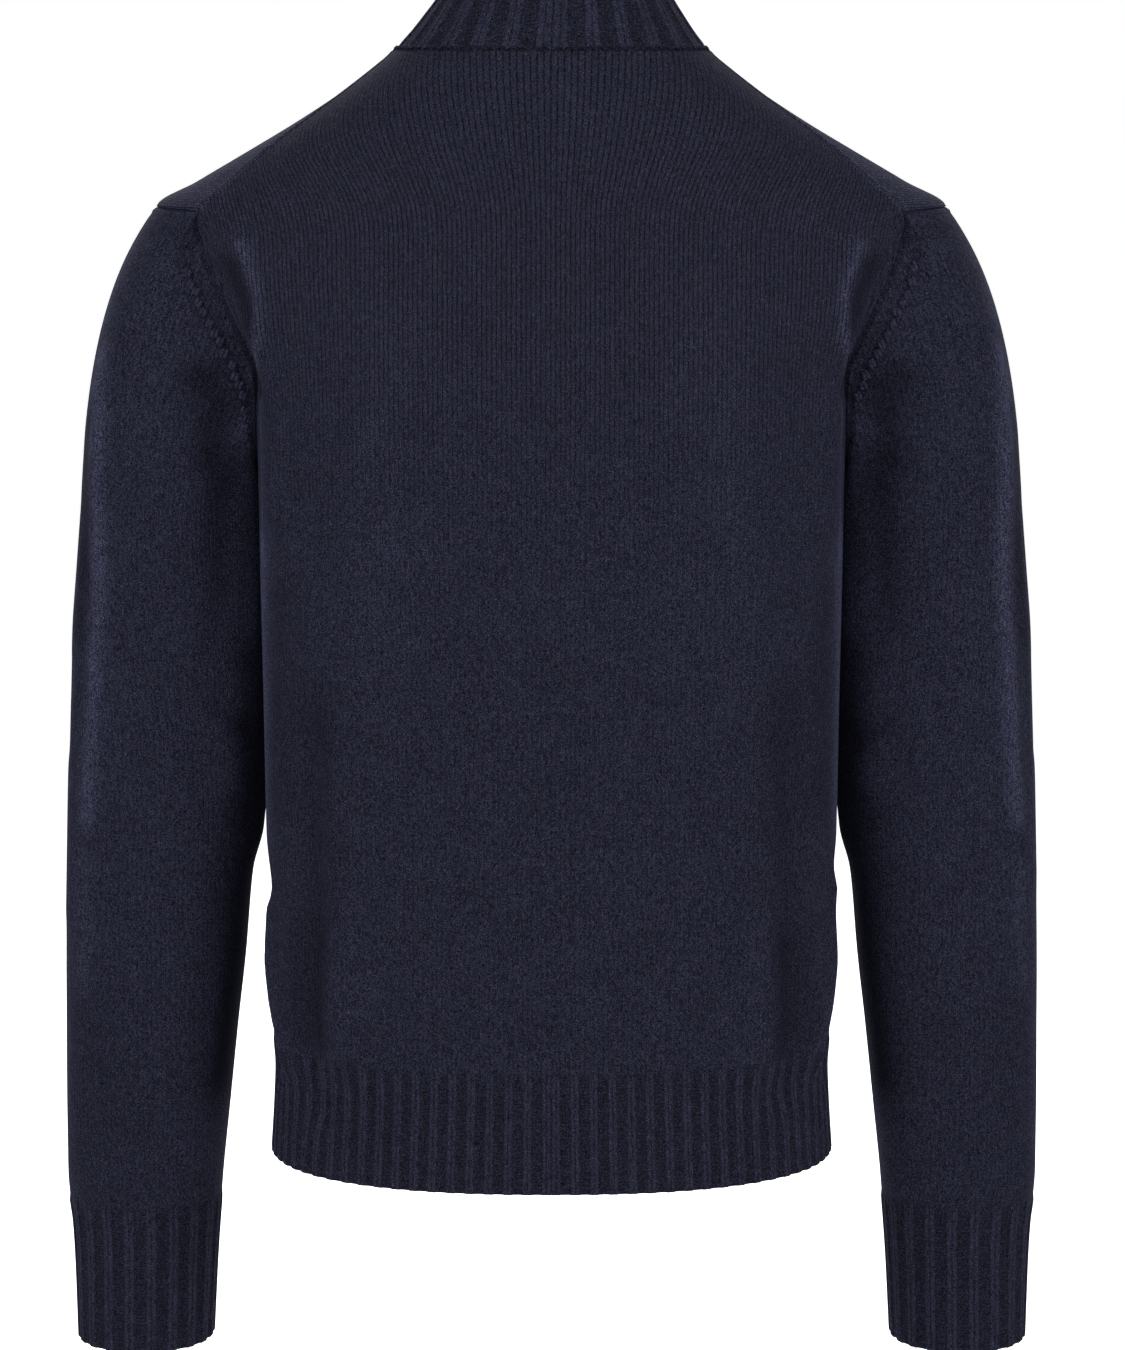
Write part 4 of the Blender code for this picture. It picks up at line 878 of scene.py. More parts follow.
def bumpFrom(tree, height, distance, strength=1.0, normal=None):
    node = tree.nodes.new("ShaderNodeBump")
    link(tree, distance, node.inputs["Distance"])
    node.inputs["Strength"].default_value = strength
    link(tree, height, node.inputs["Height"])
    if normal is not None:
        link(tree, normal, node.inputs["Normal"])
    return node.outputs[0]


def scaled(tree, colour, amount):  # a colour times a value
    node = tree.nodes.new("ShaderNodeVectorMath")
    node.operation = "SCALE"
    link(tree, colour, node.inputs[0])
    link(tree, amount, node.inputs["Scale"])
    return node.outputs[0]


def makeWool(name, ribWeight, paintedLightScale=1.0, clear=None, knit=True):
    # clear is None where the wales stand out more towards the neck, else one share for all of it
    material, tree, shader = startMaterial(name)
    look = woolLook
    place = tree.nodes.new("ShaderNodeTexCoord").outputs["Object"]
    wool = useGroup(tree, woolGroup, Place=place)
    facing = tree.nodes.new("ShaderNodeLayerWeight")
    facing.inputs["Blend"].default_value = 0.5
    # The brightness scale makes lighter or darker copies of one wool: painted light or painted shade
    grain = (value * paintedLightScale for value in look["grainSpan"])
    amount = fit(tree, wool["Grain"], 0.0, 1.0, *grain, smooth=False)
    cloud = fit(tree, wool["Cloud"], 0.0, 1.0, *look["cloudSpan"], smooth=False)
    # Painted sheen: the colour grows lighter towards grazing angles
    edge = fit(tree, facing.outputs["Facing"], 0.55, 0.90, 1.0, look["paintedSheenGain"])
    amount = calc(tree, "MULTIPLY", amount, calc(tree, "MULTIPLY", cloud, edge))
    normal = bumpFrom(tree, wool["Nap"], look["napDepth"], 0.8)
    if knit:
        numbers = tree.nodes.new("ShaderNodeUVMap")
        numbers.uv_map = "knit"
        if clear is None:
            split = tree.nodes.new("ShaderNodeSeparateXYZ")
            link(tree, place, split.inputs[0])
            clear = fit(tree, split.outputs[2], *look["clearLevels"])
        spans = look["loopShadeSpan"], look["luckSpan"], look["wanderSpan"]
        loop, luck, wander = (fit(tree, clear, 0.0, 1.0, *span, smooth=False) for span in spans)
        loops = useGroup(
            tree, knitGroup, Numbers=numbers.outputs[0], Wander=wander, RibWeight=ribWeight
        )
        # The loops' height also sets the colour: the knit's own pattern, with painted shade in the gaps and
        # grooves between loops and in the purl wales
        height = calc(tree, "MULTIPLY_ADD", calc(tree, "SUBTRACT", loops["Height"], 0.62), loop, 1.0)
        luck = calc(tree, "MULTIPLY_ADD", calc(tree, "SUBTRACT", loops["Luck"], 0.5), luck, 1.0)
        grooveShade = calc(tree, "MULTIPLY", clear, look["paintedGrooveShade"])
        grooveShade = calc(tree, "MULTIPLY", loops["Groove"], grooveShade)
        height = calc(tree, "MULTIPLY", height, calc(tree, "SUBTRACT", 1.15, grooveShade))
        calm = calc(tree, "MULTIPLY", clear, look["grainCalm"])
        amount = calc(tree, "MULTIPLY", amount, calc(tree, "SUBTRACT", 1.0, calm))
        amount = calc(tree, "ADD", amount, calm)
        amount = calc(tree, "MULTIPLY", amount, calc(tree, "MULTIPLY", height, luck))
        depth = fit(tree, clear, 0.0, 1.0, look["loopDepth"] * 0.4, look["loopDepth"], False)
        normal = bumpFrom(tree, loops["Height"], depth, 1.0, normal)
    colour = scaled(tree, mixColour(tree, wool["Warm"], look["main"], look["warm"]), amount)
    colour = mixColour(tree, calc(tree, "MULTIPLY", wool["Hair"], look["hairAmount"]), colour, look["pale"])
    # The point attribute of painted light and shade scales the colour: lighter on lit ridges and rims,
    # darker in hollows
    paintedLightAttr = tree.nodes.new("ShaderNodeAttribute")
    paintedLightAttr.attribute_name = "paintedLight"
    colour = scaled(tree, colour, calc(tree, "ADD", paintedLightAttr.outputs["Fac"], 1.0))
    link(tree, colour, shader.inputs["Base Color"])
    link(tree, normal, shader.inputs["Normal"])
    shader.inputs["Roughness"].default_value = look["roughness"]
    shader.inputs["Specular IOR Level"].default_value = look["specular"]
    shader.inputs["Sheen Weight"].default_value = look["sheen"]
    shader.inputs["Sheen Roughness"].default_value = look["sheenRoughness"]
    shader.inputs["Sheen Tint"].default_value = look["sheenTint"]
    return material


# The sleeves are painted a little lighter and the ribs a little darker; the raised stitches get a painted
# highlight and the linking yarn painted shade
plainWool = makeWool("navyPlainKnit", 0.0)
sleeveWool = makeWool("navySleeveKnit", 0.0, 1.06, 0.0)
ribWool = makeWool("navyRibKnit", 1.0, 0.95, 0.45)
markWoolPaintedHighlight = makeWool("navyRaisedStitchesPaintedHighlight", 0.0, 2.0, knit=False)
chainWoolPaintedShade = makeWool("navyLinkingYarnPaintedShade", 0.0, 0.55, knit=False)


def makeMetal(name, colour, roughness, grime):
    material, tree, shader = startMaterial(name)
    place = tree.nodes.new("ShaderNodeTexCoord").outputs["Object"]
    worn = fit(tree, noise(tree, place, 420.0, 4.0, 0.65), 0.42, 0.72)
    dark = tuple(c * 0.45 for c in colour)
    worn = mixColour(tree, calc(tree, "MULTIPLY", worn, grime), colour, dark)
    link(tree, worn, shader.inputs["Base Color"])
    brushed = noise(tree, place, 2200.0, 2.0, 0.6)
    link(tree, fit(tree, brushed, 0.3, 0.7, roughness * 0.8, roughness * 1.25), shader.inputs["Roughness"])
    link(tree, bumpFrom(tree, brushed, 0.00003, 0.6), shader.inputs["Normal"])
    shader.inputs["Metallic"].default_value = 1.0
    return material


def makeTapeMaterial():
    material, tree, shader = startMaterial("navyZipTape")
    place = tree.nodes.new("ShaderNodeTexCoord").outputs["Object"]
    split = tree.nodes.new("ShaderNodeSeparateXYZ")
    link(tree, place, split.inputs[0])
    across = calc(tree, "MULTIPLY", split.outputs[0], 1600.0)
    zigzag = calc(tree, "MULTIPLY", calc(tree, "PINGPONG", across, 2.0), 1.1)
    up = calc(tree, "MULTIPLY_ADD", split.outputs[2], 1900.0, zigzag)
    thread = calc(tree, "ABSOLUTE", calc(tree, "SINE", calc(tree, "MULTIPLY", up, math.pi / 2)))
    colour = mixColour(tree, thread, (0.0055, 0.0060, 0.0105), (0.0150, 0.0160, 0.0260))
    link(tree, colour, shader.inputs["Base Color"])
    link(tree, bumpFrom(tree, thread, 0.00016), shader.inputs["Normal"])
    shader.inputs["Roughness"].default_value = 0.78
    shader.inputs["Specular IOR Level"].default_value = 0.25
    return material


darkMetal = makeMetal("gunmetal", (0.16, 0.16, 0.175), 0.34, 0.5)
tapeCloth = makeTapeMaterial()
print("materials made")


# ---- plain panels

panelLook = {
    "sideRows": 64,
    "armholeRows": 48,
    "stripRows": 9,
    "shoulderRows": 54,
    "columnStep": 0.0036,
    "nearStep": 0.0009,
    "nearReach": 0.0300,
    "backCentre": (-0.262, -0.112),
    "frontCentre": (-0.255, -0.095),
    "innerEvery": (3, 4),
}


def pathPlaces(path, steps):
    return np.stack(path(np.linspace(0, 1, steps + 1)), axis=-1)[1:]


def sidePlaces(steps):
    share = np.linspace(0, 1, steps + 1)
    levels = cut["hemTop"] + (cut["armpit"] - cut["hemTop"]) * share
    return np.stack([0 * share, levels], axis=-1)


seamLook = {
    "dip": 0.0008,
    "armholeRidges": (  # way in from the join, half width, height
        (0.0030, 0.0011, 0.00060), (0.0052, 0.0009, -0.00045),
        (0.0072, 0.0010, 0.00050), (0.0094, 0.0009, -0.00030),
    ),
    "shoulderRidges": ((0.0021, 0.0011, 0.0008), (0.0044, 0.0012, -0.0003)),
    "stripRidges": ((0.0021, 0.0011, 0.0002),),
    "neckRidges": ((0.0030, 0.0012, 0.0004),),
    "sleeveRidges": ((0.0032, 0.0013, 0.00045), (0.0058, 0.0012, -0.00020)),
    # painted light beside the shoulder seam, and a painted highlight on the shoulder strip
    "shoulderSeamPaintedLight": 0.75,
    "stripPaintedHighlight": 0.55,
    "neckDip": 0.0002,
}


def seamRelief(distance, ridges, dip=seamLook["dip"]):  # a groove at the join, raised lines beside it
    relief = -dip * bump(distance, 0.0, 0.0016)
    for place, halfWidth, height in seamLook[ridges] if ridges else ():
        relief = relief + height * bump(distance, place, halfWidth)
    return relief


def panelShares(total):
    shares = edgeShares(total, panelLook["columnStep"], panelLook["nearStep"], panelLook["nearReach"])
    spare = (len(shares) - 1) % panelLook["innerEvery"][1]
    if spare:
        shares = np.delete(shares, np.linspace(20, len(shares) - 3, spare).astype(int))
    return shares


def panelOuter(angle, level, side, kinds, front):
    points = bodyPoint(angle, level, side)
    normal = bodyNormal(angle, level, side)
    distance = rowDistance(points)
    kinds = kinds[:, None]
    edges = (None, "armholeRidges", "stripRidges" if front else "shoulderRidges")
    relief = sum(seamRelief(distance, ridges) * (kinds == i) for i, ridges in enumerate(edges))
    fromTop = rowDistance(np.moveaxis(points, 0, 1)[:, ::-1])[:, ::-1].T
    neck = seamRelief(fromTop, "neckRidges", seamLook["neckDip"]) * (fromTop < 0.01)
    relief = np.minimum(relief, 0.001) + neck
    outer = points + normal * relief[..., None]
    inner = points - normal * cut["panelWall"]
    # Painted light and shade on the body: highlights along rims and folds, shade in hollows
    paintedLight = paintedLightShare(bodyPaintedLight, angle, level, 0.150)
    # Painted light: a lit line beside the shoulder seam, with painted shade at the join
    seamLit = bump(distance, 0.0026, 0.0013) - 0.6 * bump(distance, 0.0, 0.0011)
    paintedLight = paintedLight + seamLook["shoulderSeamPaintedLight"] * seamLit * (kinds == 2)
    # Painted highlight where the shoulder strip turns over towards the back
    if front:
        paintedLight = paintedLight + seamLook["stripPaintedHighlight"] * smoothStep(0.0, 5.0, angle)
    return outer, inner, counts[side](angle, level, front), paintedLight


def makeBack():
    look = panelLook
    armholeSteps, shoulderSteps = look["armholeRows"], look["shoulderRows"]
    armhole = np.vstack([pathPlaces(armholeBack, armholeSteps)[:-1][::-1], [stripEndRows[-1][1:]]])
    places = np.vstack([sidePlaces(look["sideRows"]), armhole, pathPlaces(shoulderSeam, shoulderSteps)])
    kinds = np.repeat([0, 1, 2], [look["sideRows"], armholeSteps + 1, shoulderSteps])
    rows = len(places) - 1
    spare = rows % look["innerEvery"][0]
    if spare:
        gone = np.arange(1, spare + 1) * 7
        places, kinds, rows = np.delete(places, gone, 0), np.delete(kinds, gone), rows - spare
    corner = np.argmax(kinds == 1) + np.array([0, armholeSteps])
    knots = (0, corner[0], corner[1], rows)
    centre = np.interp(np.arange(rows + 1), knots, (cut["hemTop"], *look["backCentre"], cut["neckLevel"]))
    shares = panelShares(0.26)[None, :]
    angle = places[:, :1] + (90.0 - places[:, :1]) * shares
    level = places[:, 1:] + (centre[:, None] - places[:, 1:]) * shares
    outer, inner, number, paintedLight = [], [], [], []
    for side in (1, -1):
        a, b, c, d = panelOuter(angle, level, side, kinds, False)
        outer.append(a), inner.append(b), number.append(c), paintedLight.append(d)
    join = lambda left, right: np.concatenate([left, right[:, -2::-1]], axis=1)
    number = [join(left, right) for left, right in zip(*number)]
    makeWall(
        "backPanel", join(*outer), join(*inner), number, False, look["innerEvery"],
        plainWool, ("back",), join(*paintedLight),
    )


def makeFront(name, node, side):
    look = panelLook
    edges = [
        sidePlaces(look["sideRows"]),
        pathPlaces(armholeFront, look["armholeRows"]),
        pathPlaces(stripEnd, look["stripRows"]),
        pathPlaces(shoulderSeam, look["shoulderRows"]),
    ]
    places = np.vstack(edges)
    kinds = np.repeat([0, 1, 1, 2], [len(edge) for edge in edges])
    bodyRows = look["sideRows"] + look["armholeRows"] + look["stripRows"]
    knots = (0, look["sideRows"], look["sideRows"] + look["armholeRows"], bodyRows)
    neckLevel = neckline(frontCentreAngle(cut["neckEdgeLevel"]))[0]
    known = (cut["hemTop"], *look["frontCentre"], neckLevel)
    levels = np.interp(np.arange(bodyRows + 1), knots, known)
    inside = np.stack([frontCentreAngle(levels), levels], axis=-1)
    start = frontCentreAngle(neckLevel)
    share = np.arange(1, look["shoulderRows"] + 1) / look["shoulderRows"]
    neckAngles = start + (-cut["neckAngle"] - start) * share
    inside = np.vstack([inside, np.stack([neckAngles, neckline(neckAngles)[0]], axis=-1)])
    spare = (len(places) - 1) % look["innerEvery"][0]
    if spare:
        gone = np.arange(1, spare + 1) * 7
        places, kinds, inside = (np.delete(v, gone, 0) for v in (places, kinds, inside))
    shares = panelShares(0.26)[None, :]
    angle = places[:, :1] + (inside[:, :1] - places[:, :1]) * shares
    level = places[:, 1:] + (inside[:, 1:] - places[:, 1:]) * shares
    outer, inner, number, paintedLight = panelOuter(angle, level, side, kinds, True)
    makeWall(
        name, outer, inner, number, False, look["innerEvery"], plainWool, (node,), paintedLight
    )


makeBack()
for label, node, side in bothSides:
    makeFront("frontPanel" + label, "front" + node, side)
print("panels made")


# ---- sleeves

sewing = {
    "markEnds": 0.018,
    "markBare": 0.14,  # way to each side of the armpit without marks
    "markLuck": 0.0012,
    "markInset": 0.0142,
    "markSpacing": 0.0064,
    "markLength": 0.0052,
    "markRadius": 0.00120,
    "markLift": 0.00085,
    "chainRise": 0.012,
    "chainPitch": 0.0029,
    "chainRadius": 0.00075,
    "chainLength": 0.0040,
    "chainTilt": 0.95,
    "chainLift": 0.00075,
    "stitchPitch": 0.0034,
    "stitchLength": 0.0026,
    "stitchRadius": 0.00028,
    "stitchInset": 0.0085,
}

sleeveLook = {
    "around": 240,
    "capRows": 54,
    "armRows": 108,
    "innerEvery": (3, 4),
    "seamWay": 2.0,
}


def evenWays(steps):  # ways that lie evenly round the armhole, from the armpit
    fine = sleeveLook["seamWay"] + np.linspace(0, 3, 1201)
    line = bodyPoint(*armholePlace(fine))
    turn = np.unwrap(np.radians(armholeTurn(softArmhole(fine))))
    travelled = np.concatenate([[0], np.cumsum(np.linalg.norm(np.diff(line, axis=0), axis=1))])
    travelled = travelled / travelled[-1] + 0.6 * (turn - turn[0]) / (turn[-1] - turn[0])
    return np.interp(np.linspace(0, 1, steps + 1) * travelled[-1], travelled, fine)


def makeSleeve(name, node, side):
    look = sleeveLook
    ways = evenWays(look["around"])
    cap = np.linspace(0, 1, look["capRows"] + 1) ** 1.35
    travels = np.concatenate([cap, 1 + np.arange(1, look["armRows"] + 1) / look["armRows"]])
    way, travel = np.meshgrid(ways, travels)
    points = sleevePoint(way, travel, side)
    normal = sleeveNormal(way, travel, side)
    distance = rowDistance(np.moveaxis(points, 0, 1)).T
    relief = seamRelief(distance, "sleeveRidges")
    bodyWay = bodyNormal(*armholePlace(ways), side)[None, :]
    close = bump(distance, 0.0, 0.0022)[..., None]
    normal = unit(normal * (1 - close) + bodyWay * close)
    outer = points + normal * relief[..., None]
    inner = points - normal * cut["panelWall"]
    wales, courses = sleeveCounts(points, side)
    for block in (slice(0, look["around"] // 2), slice(look["around"] // 2, None)):
        part = wales[:, block]
        wales[:, block] = np.abs(part) * np.median(np.sign(part), axis=1, keepdims=True)
    # Painted light and shade on the sleeve: highlights along ridges, shade in hollows and in the gap by the
    # body
    paintedLight = paintedLightShare(sleevePaintedLight, armholeTurn(softArmhole(way)), points[..., 2], armhole["sleeveReach"])
    # Painted shade beside the raised fashioning marks
    paintedLight = paintedLight - 0.18 * bump(distance, sewing["markInset"], 0.0040)
    makeWall(
        name, outer, inner, (wales, courses), True, look["innerEvery"],
        sleeveWool, (node,), paintedLight,
    )


for label, node, side in bothSides:
    makeSleeve("sleeve" + label, "sleeve" + node, side)
print("sleeves made")


# ---- ribs

ribLook = {
    "hemRibsBack": 42,
    "hemRibsFront": 21,
    "hemMiddle": -0.600,
    "cuffRibs": 21,
    "cuffMiddle": -0.705,
    "collarRibsFront": 7,
    "collarRibsBack": 14,
    "hemColumns": 12,
    "cuffColumns": 16,
    "collarColumns": 20,
    "hemRows": 24,
    "cuffRows": 27,
    "collarRows": 36,
    "collarTopRises": (0.986, 0.994, 1.0),
    "innerRise": 0.0006,
    "startFade": 0.0045,
    "edgeRound": 0.0012,
    "edgeDrop": 0.0009,
    "ribPaintedLightSpan": (-0.12, 0.22),
}


def ribHeight(phase):  # two sunken wales and then two raised ones, rounded, for 0 to 1
    phase = np.mod(phase, 1.0)
    wale = np.mod(phase * 4, 1.0)
    crown = np.sqrt(np.clip(1 - (2 * wale - 1) ** 2, 0, 1))
    up = smoothStep(0.44, 0.58, phase) * (1 - smoothStep(0.94, 1.08, phase))
    up = up + (1 - smoothStep(-0.06, 0.08, phase))
    return up * (0.74 + 0.26 * crown) + (1 - up) * 0.12 * crown


def evenAngles(places, low, high, pointAt):
    fine = np.linspace(low, high, 900)
    line = pointAt(fine)
    travelled = np.concatenate([[0], np.cumsum(np.linalg.norm(np.diff(line, axis=0), axis=1))])
    return np.interp(places * travelled[-1], travelled, fine)


def edgeDrop(distance):  # rounds the open edge off
    t = np.clip(1 - distance / ribLook["edgeRound"], 0, 1)[:, None]
    return ribLook["edgeDrop"] * (1 - np.sqrt(1 - t**2))


def ribGrid(phases, rows, edgeDistance, startDistance, seed):
    # Height of each rib over the rows, each starting at its own place and wandering a little
    luck = np.random.default_rng(seed)
    ribs = int(np.ceil(phases.max())) + 1
    offset = luck.uniform(0, 0.0035, ribs)
    index = np.clip(np.floor(phases + 0.25).astype(int), 0, ribs - 1)
    start = startDistance[:, None] - offset[index][None, :]
    fade = smoothStep(0, ribLook["startFade"], start)
    tall = ribHeight(phases)[None, :] * np.ones((len(rows), 1))
    lift = (tall * cut["ribRise"] - cut["ribSink"]) * fade
    return lift - edgeDrop(edgeDistance)


def ribWall(surface, normal, angles, phases, rows, side, edge, start, course, seed):
    angle, row = np.meshgrid(angles, rows)
    lift = ribGrid(phases, rows, edge, start, seed)
    points, out = surface(angle, row, side), normal(angle, row, side)
    outer = points + out * lift[..., None]
    inside = (1 - ribHeight(phases))[None, :] * ribLook["innerRise"]
    depth = cut["ribWall"] + cut["ribSink"] + inside - edgeDrop(edge)
    inner = points - out * depth[..., None]
    wales = np.broadcast_to(phases * 4, lift.shape)
    courses = np.broadcast_to((course / cut["coursePitch"])[:, None], lift.shape)
    # Painted shade in the sunken rib wales and painted light on the raised ones
    fade, (low, high) = ribLook["startFade"], ribLook["ribPaintedLightSpan"]
    paintedLight = ribHeight(phases)[None, :] * smoothStep(0, fade, start)[:, None]
    paintedLight = (low + (high - low) * paintedLight) * smoothStep(-0.002, fade, start)[:, None]
    return outer, inner, (wales, courses), paintedLight


def ribBothSides(name, node, every, makeHalf):  # two mirrored halves that meet behind
    (outer, inner, count, paintedLight), (outerR, innerR, countR, paintedLightR) = makeHalf(1), makeHalf(-1)
    join = lambda a, b: np.concatenate([a, b[:, -2::-1]], axis=1)
    wales = join(count[0], 2 * count[0][:, -1:] + 2 - countR[0])
    makeWall(
        name, join(outer, outerR), join(inner, innerR), (wales, join(count[1], countR[1])),
        False, every, ribWool, (node,), join(paintedLight, paintedLightR),
    )


def denseRows(start, end, steps):  # closer together towards the open edge
    share = np.linspace(0, 1, steps + 1)
    return start + (end - start) * (1 - (1 - share) ** 1.35)


def hemRows():
    rows = denseRows(cut["hemTop"], cut["hemEdge"], ribLook["hemRows"])
    return rows, rows - cut["hemEdge"], cut["hemTop"] - rows


def hemAngles(low, high, ribs):
    places = np.linspace(0, 1, ribs * ribLook["hemColumns"] + 1)
    return evenAngles(places, low, high, lambda a: bodyPoint(a, ribLook["hemMiddle"])), places * ribs


def makeHemBack():
    rows, edge, start = hemRows()
    across = hemAngles(0.0, 90.0, ribLook["hemRibsBack"] // 2)
    ribBothSides("hemRibBack", "hem_rib_back", (3, 3), lambda side: ribWall(
        bodyPoint, bodyNormal, *across, rows, side, edge, start, -rows, 11 + side
    ))


def makeHemFront(name, node, side):
    rows, edge, start = hemRows()
    across = hemAngles(frontCentreAngle(ribLook["hemMiddle"]), 0.0, ribLook["hemRibsFront"])
    outer, inner, number, paintedLight = ribWall(
        bodyPoint, bodyNormal, *across, rows, side, edge, start, -rows, 21 + side
    )
    makeWall(name, outer, inner, number, False, (3, 3), ribWool, (node,), paintedLight)


def makeCuff(name, node, side):
    rows = denseRows(cut["cuffTop"], cut["cuffEdge"], ribLook["cuffRows"])
    places = np.linspace(0, 1, ribLook["cuffRibs"] * ribLook["cuffColumns"] + 1)
    turns = evenAngles(places, 0.0, 360.0, lambda a: tubePoint(a, ribLook["cuffMiddle"]))
    normal = lambda turn, level, which: surfaceNormal(cuffPoint, turn, level, which)
    outer, inner, number, paintedLight = ribWall(
        cuffPoint, normal, turns, places * ribLook["cuffRibs"], rows, side,
        rows - cut["cuffEdge"], cut["cuffTop"] - rows, -rows, 31 + side,
    )
    makeWall(name, outer, inner, number, True, (3, 4), ribWool, (node,), paintedLight)


def makeCollar():
    start = frontCentreAngle(cut["neckEdgeLevel"])

    def spread(angle, rise):  # keeps the front edges apart by the zip
        edge = -90 + np.degrees(cut["frontEdge"] / np.abs(collarPoint(-90.0, rise)[..., 1]))
        return np.where(angle < 0, angle * edge / start, angle)

    face = lambda angle, rise, side: collarPoint(spread(angle, rise), rise, side)
    out = lambda angle, rise, side: collarNormal(spread(angle, rise), rise, side)
    rises = np.linspace(0, 1, ribLook["collarRows"] + 1)[:-1]
    rises = np.sort(np.concatenate([rises, ribLook["collarTopRises"]]))
    spare = (len(rises) - 1) % 3
    rises = np.delete(rises, np.arange(1, spare + 1) * 5)
    front, back = ribLook["collarRibsFront"], ribLook["collarRibsBack"] // 2
    steps = ribLook["collarColumns"]
    frontPlaces, backPlaces = (np.linspace(0, 1, ribs * steps + 1) for ribs in (front, back))
    seamLine = lambda angle: collarPoint(angle, 0.0)
    angles = np.concatenate([
        evenAngles(frontPlaces, start, 0.0, seamLine)[:-1], evenAngles(backPlaces, 0.0, 90.0, seamLine)
    ])
    phases = np.concatenate([frontPlaces[:-1] * front, front + backPlaces * back])
    up = rises * collarCut["liftBack"]
    ribBothSides("collarRib", "collar", (3, 4), lambda side: ribWall(
        face, out, angles, phases, rises, side, collarCut["liftBack"] - up, up + 0.0015, up, 41 + side
    ))


makeHemBack()
for label, node, side in bothSides:
    makeHemFront("hemRibFront" + label, "hem_rib_front" + node, side)
for label, node, side in bothSides:
    makeCuff("cuff" + label, "cuff" + node, side)
makeCollar()
print("ribs made")


# ---- zip

zipLook = {
    "foot": -0.6395,
    "chainTopRise": 0.81,
    "tapeTopRise": 0.985,
    "tapeWidth": 0.0145,
    "tapeThick": 0.0009,
    "tapeDepth": 0.0041,
    "toothPitch": 0.0025,
    "toothLength": 0.00115,
    "toothReach": 0.0009,
    "chainHalfWidth": 0.0028,
    "chainTop": 0.0004,
    "chainThick": 0.0026,
    "boxHeight": 0.0085,
    "sliderRise": 0.90,
}


def makeZipLine(x):  # the cloth's face along the zip, by distance from its foot
    levels = np.linspace(zipLook["foot"], cut["neckEdgeLevel"] - 0.0012, 150)
    rises = np.linspace(0.012, zipLook["tapeTopRise"], 40)
    points = np.array([frontLine(x, station)[0] for station in (*levels, *rises)])
    travelled = np.concatenate([[0], np.cumsum(np.linalg.norm(np.diff(points, axis=0), axis=1))])

    def frame(distance):
        at = lambda d: np.stack([np.interp(d, travelled, points[:, i]) for i in range(3)], axis=-1)
        up = unit(at(distance + 0.002) - at(distance - 0.002))
        out = unit(np.stack([0 * up[..., 0], -up[..., 2], up[..., 1]], axis=-1))
        return at(distance), np.cross(out, up), out, up

    return frame, travelled[len(levels) - 1 + int(len(rises) * zipLook["chainTopRise"])]


def copiesOf(base, faces, origins, across, out, up):  # one shape at many places, as one mesh
    base, faces = np.asarray(base, float), [tuple(face) for face in faces]
    points = origins[:, None, :] + base[None, :, 0:1] * across[:, None, :]
    points = points + base[None, :, 1:2] * out[:, None, :] + base[None, :, 2:3] * up[:, None, :]
    allFaces = [tuple(i + k * len(base) for i in face) for k in range(len(origins)) for face in faces]
    return points.reshape(-1, 3).tolist(), allFaces


def joinedMesh(name, parts, smoothAngle=40.0):
    points, faces = [], []
    for partPoints, partFaces in parts:
        start = len(points)
        points.extend(partPoints)
        faces.extend(tuple(i + start for i in face) for face in partFaces)
    mesh = bpy.data.meshes.new(name)
    mesh.from_pydata(points, [], faces)
    edit = bmesh.new()
    edit.from_mesh(mesh)
    bmesh.ops.recalc_face_normals(edit, faces=edit.faces)
    edit.to_mesh(mesh)
    edit.free()
    mesh.shade_smooth()
    mesh.set_sharp_from_angle(angle=math.radians(smoothAngle))
    return mesh


def prism(outline, low, high, bevel=0.0):  # an outline across and along, thick outwards
    edit = bmesh.new()
    lower = [edit.verts.new((x, low, z)) for x, z in outline]
    upper = [edit.verts.new((x, high, z)) for x, z in outline]
    edit.faces.new(lower), edit.faces.new(upper[::-1])
    for i in range(len(outline)):
        j = (i + 1) % len(outline)
        edit.faces.new((lower[i], upper[i], upper[j], lower[j]))
    bmesh.ops.recalc_face_normals(edit, faces=edit.faces)
    if bevel:
        rims = [e for e in edit.edges if abs(e.verts[0].co.y - e.verts[1].co.y) < 1e-6]
        bmesh.ops.bevel(edit, geom=rims, offset=bevel, segments=2, affect="EDGES", clamp_overlap=True)
    points, faces = [tuple(v.co) for v in edit.verts], None
    edit.verts.index_update()
    faces = [tuple(v.index for v in face.verts) for face in edit.faces]
    edit.free()
    return points, faces


def roundedOutline(halfWidth, low, high, corner, steps=5):
    outline = []
    for cx, cz, start in (
        (halfWidth - corner, high - corner, 0), (-halfWidth + corner, high - corner, 90),
        (-halfWidth + corner, low + corner, 180), (halfWidth - corner, low + corner, 270),
    ):
        for i in range(steps + 1):
            turn = math.radians(start + 90 * i / steps)
            outline.append((cx + corner * math.cos(turn), cz + corner * math.sin(turn)))
    return outline


